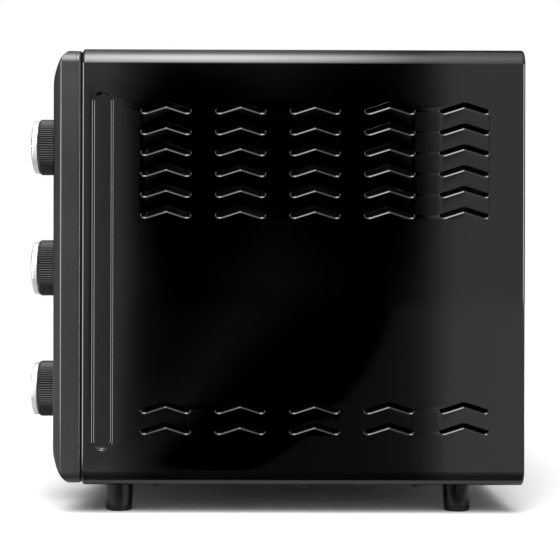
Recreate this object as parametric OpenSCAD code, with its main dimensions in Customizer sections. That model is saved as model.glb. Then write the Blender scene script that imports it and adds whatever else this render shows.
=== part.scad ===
// Countertop toaster oven with a drop-down glass door, three rotary controls, a wire rack and a crumb tray.
// The origin is on the floor, midway between the foremost and rearmost points. +Z is up and -Y is the front.
// Inside each module, y is counted from the seam plane, where the casing's front edge meets the bezel.

/* [Casing] */
// Width of the casing
casing_w = 430; // [410:1:460]
// Height of the casing without its feet
casing_h = 294.4; // [288:0.2:310]
// Depth of the casing from its front edge to its rear edge
casing_d = 296.5; // [285:0.5:330]
// Outer radius of the bends along the long edges
casing_bend_r = 9.5; // [8:0.5:13]
// Radius of the rolled front and rear edges
edge_roll_r = 3; // [2:0.5:4]
// Thickness of the sheet steel
sheet = 0.8; // [0.6:0.1:1.0]
// Width of the flange that turns under the bottom
bottom_flange_w = 7; // [5:1:9]
// Width of the flange at the rear edge
rear_flange_w = 9; // [8:1:12]

/* [Vents] */
// Number of chevron vents in a row on each side
vent_columns = 5; // [3:1:5]
// Last column's distance ahead of the casing's rear edge
vent_rear_y = 40.5; // [36:0.5:60]
// Number of rows in the upper group
vent_rows_top = 6; // [2:1:6]
// Number of rows in the lower group
vent_rows_bottom = 2; // [1:1:3]
// Distance between the rows
vent_pitch_z = 14; // [12:0.5:15]
// Half of a chevron's span, middle to end centre
vent_half_span = 16.2; // [12:0.2:17]
// Drop from a chevron's middle to its ends
vent_rise = 5.2; // [3:0.2:6]
// Width of a vent slot
vent_slot_w = 3.6; // [3:0.1:4.5]
// First column's distance behind the casing's front edge
vent_first_y = 56; // [48:1:64]
// Top row's distance below the casing's top
vent_top_drop = 37.8; // [32:0.2:44]
// Lowest row's height above the casing's bottom
vent_bottom_rise = 41.6; // [36:0.2:50]

/* [Side groove] */
// Width of the long round-ended groove pressed into each side
groove_w = 15.4; // [12:0.2:18]
// Length of the groove
groove_len = 241; // [200:1:250]
// Depth of the groove
groove_depth = 1.6; // [1:0.1:2]
// Groove centre's distance behind the casing's front edge
groove_y = 14; // [13:0.5:20]
// Height of the groove's middle above the casing's bottom
groove_mid_rise = 144.2; // [135:0.2:150]

/* [Feet] */
// Height of the feet below the casing
foot_h = 19.8; // [15:0.2:30]
// Radius of a foot at its top
foot_top_r = 9.8; // [8:0.1:12]
// Radius of a foot at the floor
foot_bottom_r = 8.2; // [6.5:0.1:9]
// Distance of the feet inward from the casing's sides
foot_inset = 30; // [26:1:50]
// Front feet's distance behind the casing's front edge
foot_front_y = 22.2; // [17:0.1:40]
// Rear feet's distance ahead of the casing's rear edge
foot_rear_y = 41.5; // [20:0.5:60]

/* [Bezel] */
// Depth of the bezel ahead of the seam
bezel_d = 19; // [16:0.2:22]
// Width of the seam between bezel and casing
seam_gap = 1.2; // [0.8:0.1:2]
// How far the bezel is set in from the casing's outline
bezel_inset = 1.4; // [0.8:0.1:2.5]
// Radius of the bezel's large front roundings
bezel_front_r = 34; // [30:1:40]
// Height of the rounding at the top and bottom of the bezel's front
bezel_round_h = 24; // [18:1:26]
// Depth of the chamfer down the bezel's front corners
bezel_chamfer_y = 5.6; // [4:0.2:6.6]
// Width of the same chamfer, seen from the front
bezel_chamfer_x = 5; // [3:0.2:6]
// Width of the bezel left of the door
left_border = 11; // [10:0.5:16]
// Width of the bezel right of the control panel
right_border = 8; // [7:0.5:12]
// Width of the bar between door and control panel
mullion_w = 8; // [7:0.5:12]
// Width of the control panel
panel_w = 98; // [90:1:110]
// Height of the bezel above the door
top_border = 25.6; // [25:0.2:34]
// Height from the bezel's bottom to the crumb tray slot
slot_rise = 14.6; // [13:0.2:18]
// Height of the crumb tray slot
slot_h = 12; // [10:0.5:14]
// Height of the bar between the tray slot and the door
sill_h = 6; // [5:0.5:9]

/* [Door] */
// Thickness of the door frame
door_t = 11; // [10:0.5:12]
// How far the door's face lies behind the bezel's front
door_setback = 5; // [3:0.5:6]
// Gap between the door and its opening
door_gap = 1; // [0.8:0.1:1.5]
// Width of the door frame's sides
stile_w = 26; // [22:1:34]
// Height of the door frame's top rail
top_rail_h = 36; // [30:1:44]
// Height of the door frame's bottom rail
bottom_rail_h = 24; // [20:1:30]
// Thickness of the door glass
glass_t = 3.6; // [3:0.1:4]
// Overlap of the glass behind the frame
glass_lap = 7; // [5:0.5:9]
// Radius of the hinge pins
hinge_pin_r = 2.5; // [2:0.1:3]

/* [Handle] */
// Length of the handle between its ends
handle_len = 236; // [180:1:260]
// Reach of the handle's middle ahead of the door's face
handle_reach = 38; // [34:1:44]
// Bow of the handle from its ends to its middle
handle_bow = 12; // [6:1:16]
// Thickness of the handle bar from front to back
handle_t = 10; // [8:0.5:12]
// Height of the handle bar
handle_h = 16; // [14:0.5:20]
// Drop from the door's top edge to the handle's middle
handle_drop = 18; // [15:0.5:22]
// Distance of each post from the handle's end
post_inset = 16; // [12:1:26]
// Radius of the handle posts
post_r = 5; // [4:0.5:6]

/* [Controls] */
// Diameter of the knobs
knob_dia = 39.2; // [36:0.2:44]
// Length of the knob's ribbed grip
knob_len = 16.6; // [14:0.2:24]
// Thickness of the knob's cap
cap_t = 4.6; // [4:0.1:5.5]
// Rise of the cap's domed face
cap_dome = 1.5; // [0.8:0.1:2]
// Number of ribs round a knob
knob_ribs = 72; // [48:1:80]
// Distance between the knobs
knob_pitch = 85.2; // [80:0.2:90]
// Gap between a knob and the control panel
knob_gap = 0.8; // [0.5:0.1:1.5]
// Radius of the control shafts
shaft_r = 3; // [2.5:0.1:3.5]

/* [Oven chamber] */
// Depth of the oven chamber behind the seam
chamber_d = 268; // [250:1:269]
// Height of the rack above the chamber's floor
rack_rise = 104; // [90:1:120]
// Radius of the rack's frame rods
rack_frame_r = 2; // [1.5:0.1:2.5]
// Radius of the bends at the rack's corners
rack_bend_r = 12; // [8:1:14]
// Radius of the rack's thin rods
rack_rod_r = 1.25; // [1:0.05:1.6]
// Number of thin rods in the rack
rack_rods = 19; // [11:1:23]
// Radius of the heating elements
heater_r = 3.3; // [3:0.1:4]
// Depth of the crumb tray's rim
tray_rim_h = 6; // [4:0.5:8]

/* [Rear] */
// Radius of the hole for the mains lead
lead_hole_r = 3.6; // [3:0.1:4.2]
// Length of the lead hole
lead_hole_len = 12; // [10:0.5:16]
// Reach of the cord gland behind the casing
gland_reach = 7; // [5:0.5:9]

/* [Hidden] */

$fn = 48;
fit = 0.3;              // gap between pieces that are assembled next to each other
running = 0.05;         // radial gap of a turning shaft
through = 2;            // how far a cutting shape overshoots

// Overall frame
half_w = casing_w / 2;
vent_pitch_y = (casing_d - vent_first_y - vent_rear_y) / (vent_columns - 1);
casing_z0 = foot_h;
casing_z1 = foot_h + casing_h;
bezel_front = -seam_gap - bezel_d;
door_face = bezel_front + door_setback;
door_back = door_face + door_t;
depth_ahead = max(handle_reach - door_face, knob_gap + knob_len + cap_t - bezel_front);
depth_behind = casing_d + gland_reach;
seam_y = (depth_ahead - depth_behind) / 2;

// Inside of the casing
inner_half_w = half_w - sheet;
inner_top = casing_z1 - sheet;
base_z = casing_z0 + sheet + 0.2;
base_top = base_z + sheet;
base_half_w = half_w - casing_bend_r - 0.5;
flange_lap = 1;         // overlap of the rear flange with the rolled edge
plate_y = edge_roll_r + 0.4;
plate_back = plate_y + sheet;
rear_y = casing_d - sheet - 0.1;

// Bezel outline and openings
bezel_half_w = half_w - bezel_inset;
bezel_z0 = casing_z0 + bezel_inset;
bezel_z1 = casing_z1 - bezel_inset;
bezel_corner_r = casing_bend_r - bezel_inset;
panel_x1 = bezel_half_w - right_border;
panel_x0 = panel_x1 - panel_w;
panel_mid_x = (panel_x0 + panel_x1) / 2;
panel_z0 = bezel_z0 + bezel_round_h;
panel_z1 = bezel_z1 - bezel_round_h + 2;
panel_t = 3;
panel_ledge = 2.5;
opening_x0 = -bezel_half_w + left_border;
opening_x1 = panel_x0 - mullion_w;
slot_z0 = bezel_z0 + slot_rise;
slot_z1 = slot_z0 + slot_h;
opening_z0 = slot_z1 + sill_h;
opening_z1 = bezel_z1 - top_border;
skirt_t = 2;
skirt_back = plate_y - 0.2;

// Door
door_x0 = opening_x0 + door_gap;
door_x1 = opening_x1 - door_gap;
door_z0 = opening_z0 + door_gap;
door_z1 = opening_z1 - door_gap;
door_mid_x = (door_x0 + door_x1) / 2;
hinge_y = (door_face + door_back) / 2;
hinge_z = door_z0 + door_t / 2;
window_x0 = door_x0 + stile_w;
window_x1 = door_x1 - stile_w;
window_z0 = door_z0 + bottom_rail_h;
window_z1 = door_z1 - top_rail_h;
retainer_t = 1;
glass_back = door_back - retainer_t - 0.3;
handle_z = door_z1 - handle_drop;
handle_bow_r = (pow(handle_len / 2, 2) + pow(handle_bow, 2)) / (2 * handle_bow);
post_x = handle_len / 2 - post_inset;
bow_at_post = handle_bow_r - sqrt(pow(handle_bow_r, 2) - pow(post_x, 2));
post_front = door_face - handle_reach + handle_t / 2 + bow_at_post - 1.4;
hinge_bore_r = hinge_pin_r + running;
pin_grip = 22;          // length of a hinge pin inside the door
spring_len = 12;        // length of the spring round each hinge pin
spring_wire_r = 0.6;
spring_r = hinge_pin_r + 0.9;
spring_bore_r = spring_r + spring_wire_r + 0.3;
bracket_h = 16;
bracket_left_x0 = -half_w + edge_roll_r + skirt_t + 2 * fit;
bracket_right_x1 = opening_x1 + mullion_w - 2.2;

// Controls
knob_mid_z = (bezel_z0 + bezel_z1) / 2 - 0.4;
knob_zs = [knob_mid_z + knob_pitch, knob_mid_z, knob_mid_z - knob_pitch];
knob_r = knob_dia / 2;
knob_back = bezel_front - knob_gap;
knob_front = knob_back - knob_len;
knob_wall = 2.5;
hub_r = shaft_r + 3;
shaft_flat = 0.8;       // depth of the flat that keys a shaft to its knob
neck_r = shaft_r + 1.8;
neck_front = plate_y - 7;
body_y = plate_back + 0.1;
lamp_z = knob_mid_z + knob_pitch / 2;
lamp_r = 4;
thermostat_h = 30;
timer_d = 34;
bell_r = 18.1;
bell_h = 5;
bell_wall = 1;
bell_post_r = 2;
bell_post_len = 8;
nut_h = 3;
nut_rim = 3;            // reach of a nut's corners beyond the neck

// Oven chamber
chamber_x0 = opening_x0 + 2.6;
chamber_x1 = opening_x1 - 2.6;
chamber_z0 = slot_z0 - 0.2;
chamber_z1 = opening_z1 - 2;
chamber_front = door_back + 0.5;
flange_w = 10;          // width of the chamber's front flange
flange_screw_b = 6;     // distance of its screws from the chamber's inside
rack_z = chamber_z0 + rack_rise;
rail_y0 = plate_back + 14;
rail_y1 = chamber_d - 12;
rail_ledge = 8;
rail_pitch = 40;
rail_margin = 16;       // height of a rail plate beyond its highest and lowest ledges
rack_stay_r = rack_rod_r * 1.3;
rail_levels = [-rail_pitch, 0, rail_pitch];
stay_w = 18;            // width of the stays under the chamber
stay_foot = 12;
stay_back = 30;         // distance of the stays ahead of the chamber's rear wall
shield_x = chamber_x1 + 21;
shield_foot = 10;
shield_hole_r = 5;
flange_mid_x = (chamber_x0 + chamber_x1) / 2;
flange_half_w = (chamber_x1 - chamber_x0) / 2;
heater_ys = [chamber_d * 0.27, chamber_d * 0.73];
heater_low_z = chamber_z0 + 24;
heater_high_z = chamber_z1 - 24;
insulator_r = 6.6;
insulator_out = 4;      // reach of an insulator outside the chamber wall
insulator_flange = 3;   // thickness of its flange inside the wall
bulb_y = chamber_d / 2;
bulb_z = chamber_z1 - 4;
capillary_r = 0.8;
contact_out = 8;        // reach of a heater's contact pin beyond the chamber wall
lead_r = 1;
tray_z0 = slot_z0 + 0.3;
tray_x0 = chamber_x0 + 1.5;
tray_x1 = chamber_x1 - 1.5;
tray_front = bezel_front + 2;

// Fasteners
screw_r = 1.7;
screw_hole_r = 1.9;
screw_head_r = 3.2;
screw_head_h = 2;
screw_boss_r = 3.6;
bezel_screw_tip = bezel_front + 11;
mullion_x = opening_x1 + mullion_w / 2;
bezel_screw_top = bezel_z1 - 14;
bezel_screw_bottom = bezel_z0 + 7;
bezel_screw_spots = [[mullion_x, knob_zs[0]], [mullion_x, knob_zs[2]], [-casing_w * 0.36, bezel_screw_top],
    [0, bezel_screw_top], [casing_w * 0.36, bezel_screw_top], [-casing_w * 0.36, bezel_screw_bottom],
    [0, bezel_screw_bottom], [casing_w * 0.36, bezel_screw_bottom]];
chamber_screw_z0 = chamber_z0 - flange_screw_b;
chamber_screw_z1 = chamber_z1 + flange_screw_b;
chamber_screw_spots = concat(
    [for (x = [-0.8, 0.8], z = [chamber_screw_z0, chamber_screw_z1]) [flange_mid_x + x * flange_half_w, z]],
    [for (s = [-1, 1], z = [0.35, 0.75]) [flange_mid_x + s * (flange_half_w + flange_screw_b),
        chamber_z0 + z * (chamber_z1 - chamber_z0)]]);
foot_screw_r = 2;
foot_hole_r = 2.2;
foot_recess_h = 9;
foot_recess_r = 4.6;
rear_screw_b = edge_roll_r + rear_flange_w / 2;
rear_side_zs = [casing_z0 + casing_h * 0.22, casing_z0 + casing_h * 0.74];
rear_top_xs = [-casing_w * 0.28, 0, casing_w * 0.28];
base_screw_x = half_w - casing_bend_r - bottom_flange_w / 2;
base_screw_ys = [casing_d * 0.16, casing_d * 0.5, casing_d * 0.76];

// Rear
gland_x = panel_mid_x - 8;
terminal_y = casing_d - 47;
gland_z = casing_z0 + 46;
gland_r = lead_hole_r + 3.4;
gland_flange_r = gland_r + 3;

// ---- shapes used by several pieces ----

// Places a piece that is drawn from the seam plane into the row frame
module seat() translate([0, seam_y, 0]) children();

// Extrudes an outline drawn in x and z over y0 to y1
module slab(y0, y1) translate([0, y1, 0]) rotate([90, 0, 0]) linear_extrude(y1 - y0) children();

// Extrudes an outline drawn in y and z over x0 to x1
module beam(x0, x1) translate([x0, 0, 0]) rotate([90, 0, 90]) linear_extrude(x1 - x0) children();

// Box between two corners
module block(a, b) translate(a) cube(b - a);

// Cylinders along each axis, from one coordinate to another
module rod_x(x0, x1, y, z, r) translate([x0, y, z]) rotate([0, 90, 0]) cylinder(h = x1 - x0, r = r);
module rod_y(y0, y1, x, z, r) translate([x, y1, z]) rotate([90, 0, 0]) cylinder(h = y1 - y0, r = r);
module rod_z(z0, z1, x, y, r) translate([x, y, z0]) cylinder(h = z1 - z0, r = r);

// Rectangle with round corners
module round_rect(x0, x1, z0, z1, r) {
    translate([x0 + r, z0]) square([x1 - x0 - 2 * r, z1 - z0]);
    translate([x0, z0 + r]) square([x1 - x0, z1 - z0 - 2 * r]);
    for (x = [x0 + r, x1 - r], z = [z0 + r, z1 - r]) translate([x, z]) circle(r);
}

// Upright outline with fully round ends
module upright_slot(mid_y, mid_z, w, len)
    round_rect(mid_y - w / 2, mid_y + w / 2, mid_z - len / 2, mid_z + len / 2, w / 2 - 0.01);

// Chevron vent: two arms that drop from the middle to round ends
module chevron() {
    slope = atan2(vent_rise, vent_half_span);
    r = vent_slot_w / 2;
    up = r / cos(slope);
    end = [vent_half_span, -vent_rise];
    side = [r * sin(slope), r * cos(slope)];
    polygon([[0, up], end + side, end - side, [0, -up],
        [-end[0] + side[0], end[1] - side[1]], [-end[0] - side[0], end[1] + side[1]]]);
    for (s = [-1, 1]) translate([s * end[0], end[1]]) circle(r);
}

// Pan head screw along y: its head sits on the plane y0, towards +y if side is 1 and towards -y if it is -1
module pan_screw(x, y0, z, len, side = 1) {
    rod_y(side > 0 ? y0 - len : y0, side > 0 ? y0 : y0 + len, x, z, screw_r);
    rod_y(side > 0 ? y0 : y0 - screw_head_h, side > 0 ? y0 + screw_head_h : y0, x, z, screw_head_r);
}

// Run of eight-sided wire through a list of points: each step follows one axis and laps the next at the bend
module wire_run(points, r) for (i = [1 : len(points) - 1]) {
    a = points[i - 1];
    b = points[i];
    lap = 0.8 * r;
    if (a[0] != b[0]) rod_x(min(a[0], b[0]) - lap, max(a[0], b[0]) + lap, a[1], a[2], r, $fn = 8);
    if (a[1] != b[1]) rod_y(min(a[1], b[1]) - lap, max(a[1], b[1]) + lap, a[0], a[2], r, $fn = 8);
    if (a[2] != b[2]) rod_z(min(a[2], b[2]) - lap, max(a[2], b[2]) + lap, a[0], a[1], r, $fn = 8);
}

// ---- casing and plates ----

// Section across the casing sheet: x is the distance out of its outer face, y the depth behind the front edge
module casing_section() {
    translate([-sheet, edge_roll_r]) square([sheet, casing_d - 2 * edge_roll_r]);
    for (end = [0, 1]) translate([-edge_roll_r, end ? casing_d - edge_roll_r : edge_roll_r]) intersection() {
        difference() {
            circle(edge_roll_r);
            circle(edge_roll_r - sheet);
        }
        translate([0, end ? 0 : -edge_roll_r]) square(edge_roll_r);
    }
    translate([-edge_roll_r - flange_lap, casing_d - sheet]) square([flange_lap, sheet]);
}

module casing_corner(side, z, turn) translate([side * (half_w - casing_bend_r), 0, z])
    rotate([-90, 0, 0]) rotate([0, 0, turn]) rotate_extrude(angle = 90)
        translate([casing_bend_r, 0]) casing_section();

// Flange frame inside the rear roll, open under the oven
module rear_flange_outline() difference() {
    inset = edge_roll_r + flange_lap / 2;
    round_rect(-half_w + inset, half_w - inset, casing_z0 + inset, casing_z1 - inset, casing_bend_r - inset);
    round_rect(-half_w + edge_roll_r + rear_flange_w, half_w - edge_roll_r - rear_flange_w,
        casing_z0 - casing_h, casing_z1 - edge_roll_r - rear_flange_w, 1);
    translate([-base_screw_x + bottom_flange_w / 2, casing_z0 - through])
        square([2 * base_screw_x - bottom_flange_w, 40]);
}

module casing_shell() {
    wall_z0 = casing_z0 + casing_bend_r;
    wall_h = casing_h - 2 * casing_bend_r;
    top_x = half_w - casing_bend_r;
    translate([half_w, 0, wall_z0]) linear_extrude(wall_h) casing_section();
    translate([-half_w, 0, wall_z0]) linear_extrude(wall_h) mirror([1, 0]) casing_section();
    beam(-top_x, top_x) translate([0, casing_z1]) mirror([1, -1]) casing_section();
    for (s = [-1, 1]) beam(s > 0 ? top_x - bottom_flange_w : -top_x, s > 0 ? top_x : -top_x + bottom_flange_w)
        translate([0, casing_z0]) mirror([0, 1]) mirror([1, -1]) casing_section();
    casing_corner(1, casing_z1 - casing_bend_r, -90);
    casing_corner(-1, casing_z1 - casing_bend_r, 180);
    casing_corner(1, wall_z0, 0);
    casing_corner(-1, wall_z0, 90);
    slab(casing_d - sheet, casing_d) rear_flange_outline();
}

module vent_field() {
    for (i = [0 : vent_columns - 1]) {
        y = vent_first_y + i * vent_pitch_y;
        for (j = [0 : vent_rows_top - 1])
            translate([y, casing_z1 - vent_top_drop - j * vent_pitch_z]) chevron();
        for (j = [0 : vent_rows_bottom - 1])
            translate([y, casing_z0 + vent_bottom_rise + j * vent_pitch_z]) chevron();
    }
}

// Block with the groove's outline on both sides, from one depth below the casing's side to another
module groove(from, to, grow = 0) for (s = [-1, 1])
    beam(min(s * (half_w - from), s * (half_w - to)), max(s * (half_w - from), s * (half_w - to)))
        upright_slot(groove_y, casing_z0 + groove_mid_rise, groove_w + 2 * grow, groove_len + 2 * grow);

module casing() color([0.04, 0.04, 0.045]) seat() {
    difference() {
        union() {
            casing_shell();
            groove(sheet / 2, groove_depth + sheet, sheet);
        }
        groove(-through, groove_depth);
        beam(-half_w - through, half_w + through) vent_field();
        for (s = [-1, 1], z = rear_side_zs)
            rod_y(casing_d - 2 * sheet, casing_d + through, s * (half_w - rear_screw_b), z, screw_hole_r);
        for (x = rear_top_xs)
            rod_y(casing_d - 2 * sheet, casing_d + through, x, casing_z1 - rear_screw_b, screw_hole_r);
        for (s = [-1, 1], y = base_screw_ys)
            rod_z(casing_z0 - through, casing_z0 + 2 * sheet, s * base_screw_x, y, screw_hole_r);
    }
}

module foot_spots() for (s = [-1, 1], y = [foot_front_y, casing_d - foot_rear_y])
    translate([s * (half_w - foot_inset), y, 0]) children();

module base_plate() color([0.55, 0.56, 0.57]) seat() difference() {
    block([-base_half_w, plate_y, base_z], [base_half_w, casing_d - edge_roll_r - fit, base_top]);
    foot_spots() rod_z(base_z - through, base_top + through, 0, 0, foot_hole_r);
    for (s = [-1, 1], y = base_screw_ys)
        rod_z(base_z - through, base_top + through, s * base_screw_x, y, screw_hole_r);
    for (i = [-3 : 3], j = [0 : 3])
        rod_z(base_z - through, base_top + through, i * casing_w * 0.1, casing_d * (0.25 + 0.16 * j), 4);
}

module rear_panel() color([0.06, 0.06, 0.065]) seat() difference() {
    slab(rear_y - sheet, rear_y) round_rect(-half_w + edge_roll_r + fit, half_w - edge_roll_r - fit,
        casing_z0 + edge_roll_r + fit, casing_z1 - edge_roll_r - fit, casing_bend_r - edge_roll_r - fit);
    slab(rear_y - sheet - through, rear_y + through) for (i = [-2 : 2], j = [0 : vent_rows_top - 1])
        translate([i * vent_pitch_y, casing_z1 - vent_top_drop - 8 - j * vent_pitch_z]) chevron();
    for (s = [-1, 1], z = rear_side_zs)
        rod_y(rear_y - sheet - through, rear_y + through, s * (half_w - rear_screw_b), z, screw_hole_r);
    for (x = rear_top_xs)
        rod_y(rear_y - sheet - through, rear_y + through, x, casing_z1 - rear_screw_b, screw_hole_r);
    rod_y(rear_y - sheet - through, rear_y + through, gland_x, gland_z, gland_r + 0.1);
}

module front_plate() color([0.6, 0.61, 0.62]) seat() difference() {
    slab(plate_y, plate_back) difference() {
        round_rect(-inner_half_w + fit, inner_half_w - fit, base_top + fit, inner_top - fit,
            casing_bend_r - sheet - fit);
        edge = sheet + fit;
        translate([chamber_x0 - edge, chamber_z0 - edge])
            square([chamber_x1 - chamber_x0 + 2 * edge, chamber_z1 - chamber_z0 + 2 * edge]);
    }
    for (z = knob_zs) rod_y(plate_y - through, plate_back + through, panel_mid_x, z, neck_r + 0.1);
    rod_y(plate_y - through, plate_back + through, panel_mid_x, lamp_z, lamp_r + fit);
    for (spot = concat(bezel_screw_spots, chamber_screw_spots))
        rod_y(plate_y - through, plate_back + through, spot[0], spot[1], screw_hole_r);
}

// ---- bezel and control panel ----

// Side view of the bezel: straight front with large roundings at its top and bottom, open at the back
module bezel_profile() difference() {
    translate([bezel_front, bezel_z0 - through])
        square([bezel_d + through, bezel_z1 - bezel_z0 + 2 * through]);
    for (s = [-1, 1]) {
        edge = s > 0 ? bezel_z1 : bezel_z0;
        difference() {
            translate([bezel_front - through, s > 0 ? edge - bezel_round_h : edge - 2 * through])
                square([bezel_front_r + through, bezel_round_h + 2 * through]);
            translate([bezel_front + bezel_front_r, edge - s * bezel_round_h]) circle(bezel_front_r);
        }
    }
}

// Top view of the bezel with its chamfered front corners, larger than the bezel at the sides and back
module bezel_plan() {
    rise = through * bezel_chamfer_y / bezel_chamfer_x;
    side = bezel_half_w + through;
    face = bezel_half_w - bezel_chamfer_x - through;
    side_y = bezel_front + bezel_chamfer_y + rise;
    polygon([[-side, 0], [-side, side_y], [-face, bezel_front - rise], [face, bezel_front - rise],
        [side, side_y], [side, 0]]);
}

module bezel_blank() intersection() {
    slab(bezel_front - through, -seam_gap)
        round_rect(-bezel_half_w, bezel_half_w, bezel_z0, bezel_z1, bezel_corner_r);
    beam(-bezel_half_w - through, bezel_half_w + through) bezel_profile();
    translate([0, 0, bezel_z0 - through]) linear_extrude(bezel_z1 - bezel_z0 + 2 * through) bezel_plan();
}

// Tongue behind the bezel that slips inside the casing's rolled edge
module bezel_skirt() slab(-seam_gap, skirt_back) difference() {
    inset = edge_roll_r + fit;
    round_rect(-half_w + inset, half_w - inset, casing_z0 + inset, casing_z1 - inset, casing_bend_r - inset);
    round_rect(-half_w + inset + skirt_t, half_w - inset - skirt_t, casing_z0 + inset + skirt_t,
        casing_z1 - inset - skirt_t, casing_bend_r - inset - skirt_t);
}

module front_bezel() color([0.09, 0.09, 0.095]) seat() difference() {
    union() {
        bezel_blank();
        bezel_skirt();
        for (spot = bezel_screw_spots) rod_y(-seam_gap - 1, skirt_back, spot[0], spot[1], screw_boss_r);
    }
    block([opening_x0, bezel_front - through, opening_z0], [opening_x1, skirt_back + through, opening_z1]);
    block([tray_x0 - 1, bezel_front - through, slot_z0], [tray_x1 + 1, -seam_gap + through, slot_z1]);
    block([panel_x0, bezel_front - through, panel_z0], [panel_x1, bezel_front + 0.5 + panel_t, panel_z1]);
    block([panel_x0 + panel_ledge, bezel_front - through, panel_z0 + panel_ledge],
        [panel_x1 - panel_ledge, -seam_gap + through, panel_z1 - panel_ledge]);
    block([bracket_left_x0 - fit, hinge_y - 6, hinge_z - bracket_h / 2 - fit],
        [opening_x0 + through, -seam_gap + through, hinge_z + bracket_h / 2 + fit]);
    block([opening_x1 - through, hinge_y - 6, hinge_z - bracket_h / 2 - fit],
        [bracket_right_x1 + fit, -seam_gap + through, hinge_z + bracket_h / 2 + fit]);
    difference() {
        block([-bezel_half_w + 20, bezel_front + 11, opening_z1 + 3],
            [opening_x1, -seam_gap + through, bezel_z1 - 7]);
        for (spot = bezel_screw_spots) rod_y(bezel_front, through, spot[0], spot[1], screw_boss_r);
    }
    for (spot = bezel_screw_spots)
        rod_y(bezel_screw_tip - 1, skirt_back + through, spot[0], spot[1], screw_r + running);
}

module control_panel() color([0.02, 0.02, 0.022]) seat() difference() {
    block([panel_x0 + 0.2, bezel_front + 0.4, panel_z0 + 0.2],
        [panel_x1 - 0.2, bezel_front + 0.4 + panel_t, panel_z1 - 0.2]);
    for (z = knob_zs)
        rod_y(bezel_front - through, bezel_front + panel_t + through, panel_mid_x, z, shaft_r + 1);
    rod_y(bezel_front - through, bezel_front + panel_t + through, panel_mid_x, lamp_z, lamp_r + 0.1);
}

// ---- oven chamber ----

module heater_holes(r) for (y = heater_ys, z = [heater_low_z, heater_high_z])
    rod_x(chamber_x0 - through - sheet, chamber_x1 + through + sheet, y, z, r);

module oven_chamber() color([0.72, 0.72, 0.7]) seat() difference() {
    union() {
        block([chamber_x0 - sheet, chamber_front, chamber_z0 - sheet],
            [chamber_x1 + sheet, chamber_d + sheet, chamber_z1 + sheet]);
        block([chamber_x0 - flange_w, plate_back + 0.1, chamber_z0 - flange_w],
            [chamber_x1 + flange_w, plate_back + 0.1 + sheet, chamber_z1 + flange_w]);
    }
    block([chamber_x0, chamber_front - through, chamber_z0], [chamber_x1, chamber_d, chamber_z1]);
    block([chamber_x0 - through, chamber_front - through, chamber_z0 - through],
        [chamber_x1 + through, plate_y - 0.2, opening_z0 + door_gap]);
    heater_holes(insulator_r + 0.1);
    rod_x(chamber_x1 - through, chamber_x1 + through, bulb_y, bulb_z, capillary_r + 0.4);
    for (spot = chamber_screw_spots)
        rod_y(plate_back - through, plate_back + through + sheet, spot[0], spot[1], screw_hole_r);
    for (spot = bezel_screw_spots)
        rod_y(plate_back - through, plate_back + through + sheet, spot[0], spot[1], screw_head_r + fit);
}

// Stays between the chamber's rear end and the base plate
module chamber_brackets() color([0.66, 0.67, 0.68]) seat() for (s = [-1, 1]) {
    x0 = flange_mid_x + s * flange_half_w * 0.7 - stay_w / 2;
    z0 = base_top + 0.1;
    z1 = chamber_z0 - sheet - 0.1;
    y = chamber_d - stay_back;
    block([x0, y, z0], [x0 + stay_w, y + stay_foot, z0 + sheet]);
    block([x0, y, z0], [x0 + stay_w, y + sheet, z1]);
    block([x0, y, z1 - sheet], [x0 + stay_w, y + stay_foot, z1]);
}

module heat_shield() color([0.05, 0.05, 0.053]) seat() {
    z0 = base_top + 0.1;
    difference() {
        union() {
            block([shield_x, plate_back + fit, z0], [shield_x + sheet, rear_y - sheet - fit, inner_top - 10]);
            block([shield_x, plate_back + fit, z0],
                [shield_x + shield_foot, rear_y - sheet - fit, z0 + sheet]);
        }
        for (i = [0 : 3], j = [0 : 3]) rod_x(shield_x - through, shield_x + through,
            casing_d * (0.3 + 0.15 * i), casing_z0 + casing_h * (0.2 + 0.17 * j), shield_hole_r);
        rod_x(shield_x - through, shield_x + through, bulb_y, bulb_z, 2);
        for (z = [heater_low_z, heater_high_z])
            rod_x(shield_x - through, shield_x + through, heater_ys[0], z, 4);
    }
}

// Rail plate on a chamber wall; side is -1 for the left wall and 1 for the right
module rack_rail(side) seat() {
    wall = side < 0 ? chamber_x0 + 0.2 : chamber_x1 - 0.2;
    inner = wall - side * sheet;
    low = min(wall, inner);
    reach = rail_pitch + rail_margin;
    block([low, rail_y0, rack_z - reach], [low + sheet, rail_y1, rack_z + reach]);
    for (level = rail_levels) {
        tip = wall - side * rail_ledge;
        block([min(wall, tip), rail_y0, rack_z + level - sheet], [max(wall, tip), rail_y1, rack_z + level]);
    }
}
module rack_rail_left() color([0.75, 0.75, 0.74]) rack_rail(-1);
module rack_rail_right() color([0.75, 0.75, 0.74]) rack_rail(1);

// Sheathed element across the chamber, with a contact pin at each end
module heater(y, z) seat() {
    rod_x(chamber_x0 - sheet - 4, chamber_x1 + sheet + 4, y, z, heater_r);
    rod_x(chamber_x0 - sheet - contact_out, chamber_x1 + sheet + contact_out, y, z, 1.2);
}
module heater_upper_front() color([0.3, 0.29, 0.28]) heater(heater_ys[0], heater_high_z);
module heater_upper_rear() color([0.3, 0.29, 0.28]) heater(heater_ys[1], heater_high_z);
module heater_lower_front() color([0.3, 0.29, 0.28]) heater(heater_ys[0], heater_low_z);
module heater_lower_rear() color([0.3, 0.29, 0.28]) heater(heater_ys[1], heater_low_z);

// Ceramic bushes that carry the elements in the chamber's walls
module heater_insulators() color([0.93, 0.91, 0.86]) seat()
    for (y = heater_ys, z = [heater_low_z, heater_high_z], s = [-1, 1]) difference() {
        wall = s < 0 ? chamber_x0 : chamber_x1;
        flange = wall - s * insulator_flange;
        union() {
            for (step = [[insulator_out, insulator_r], [-0.1, insulator_r + 2.6]]) {
                end = wall + s * step[0];
                rod_x(min(flange, end), max(flange, end), y, z, step[1]);
            }
        }
        rod_x(wall - 10, wall + 10, y, z, heater_r + running);
    }

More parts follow.
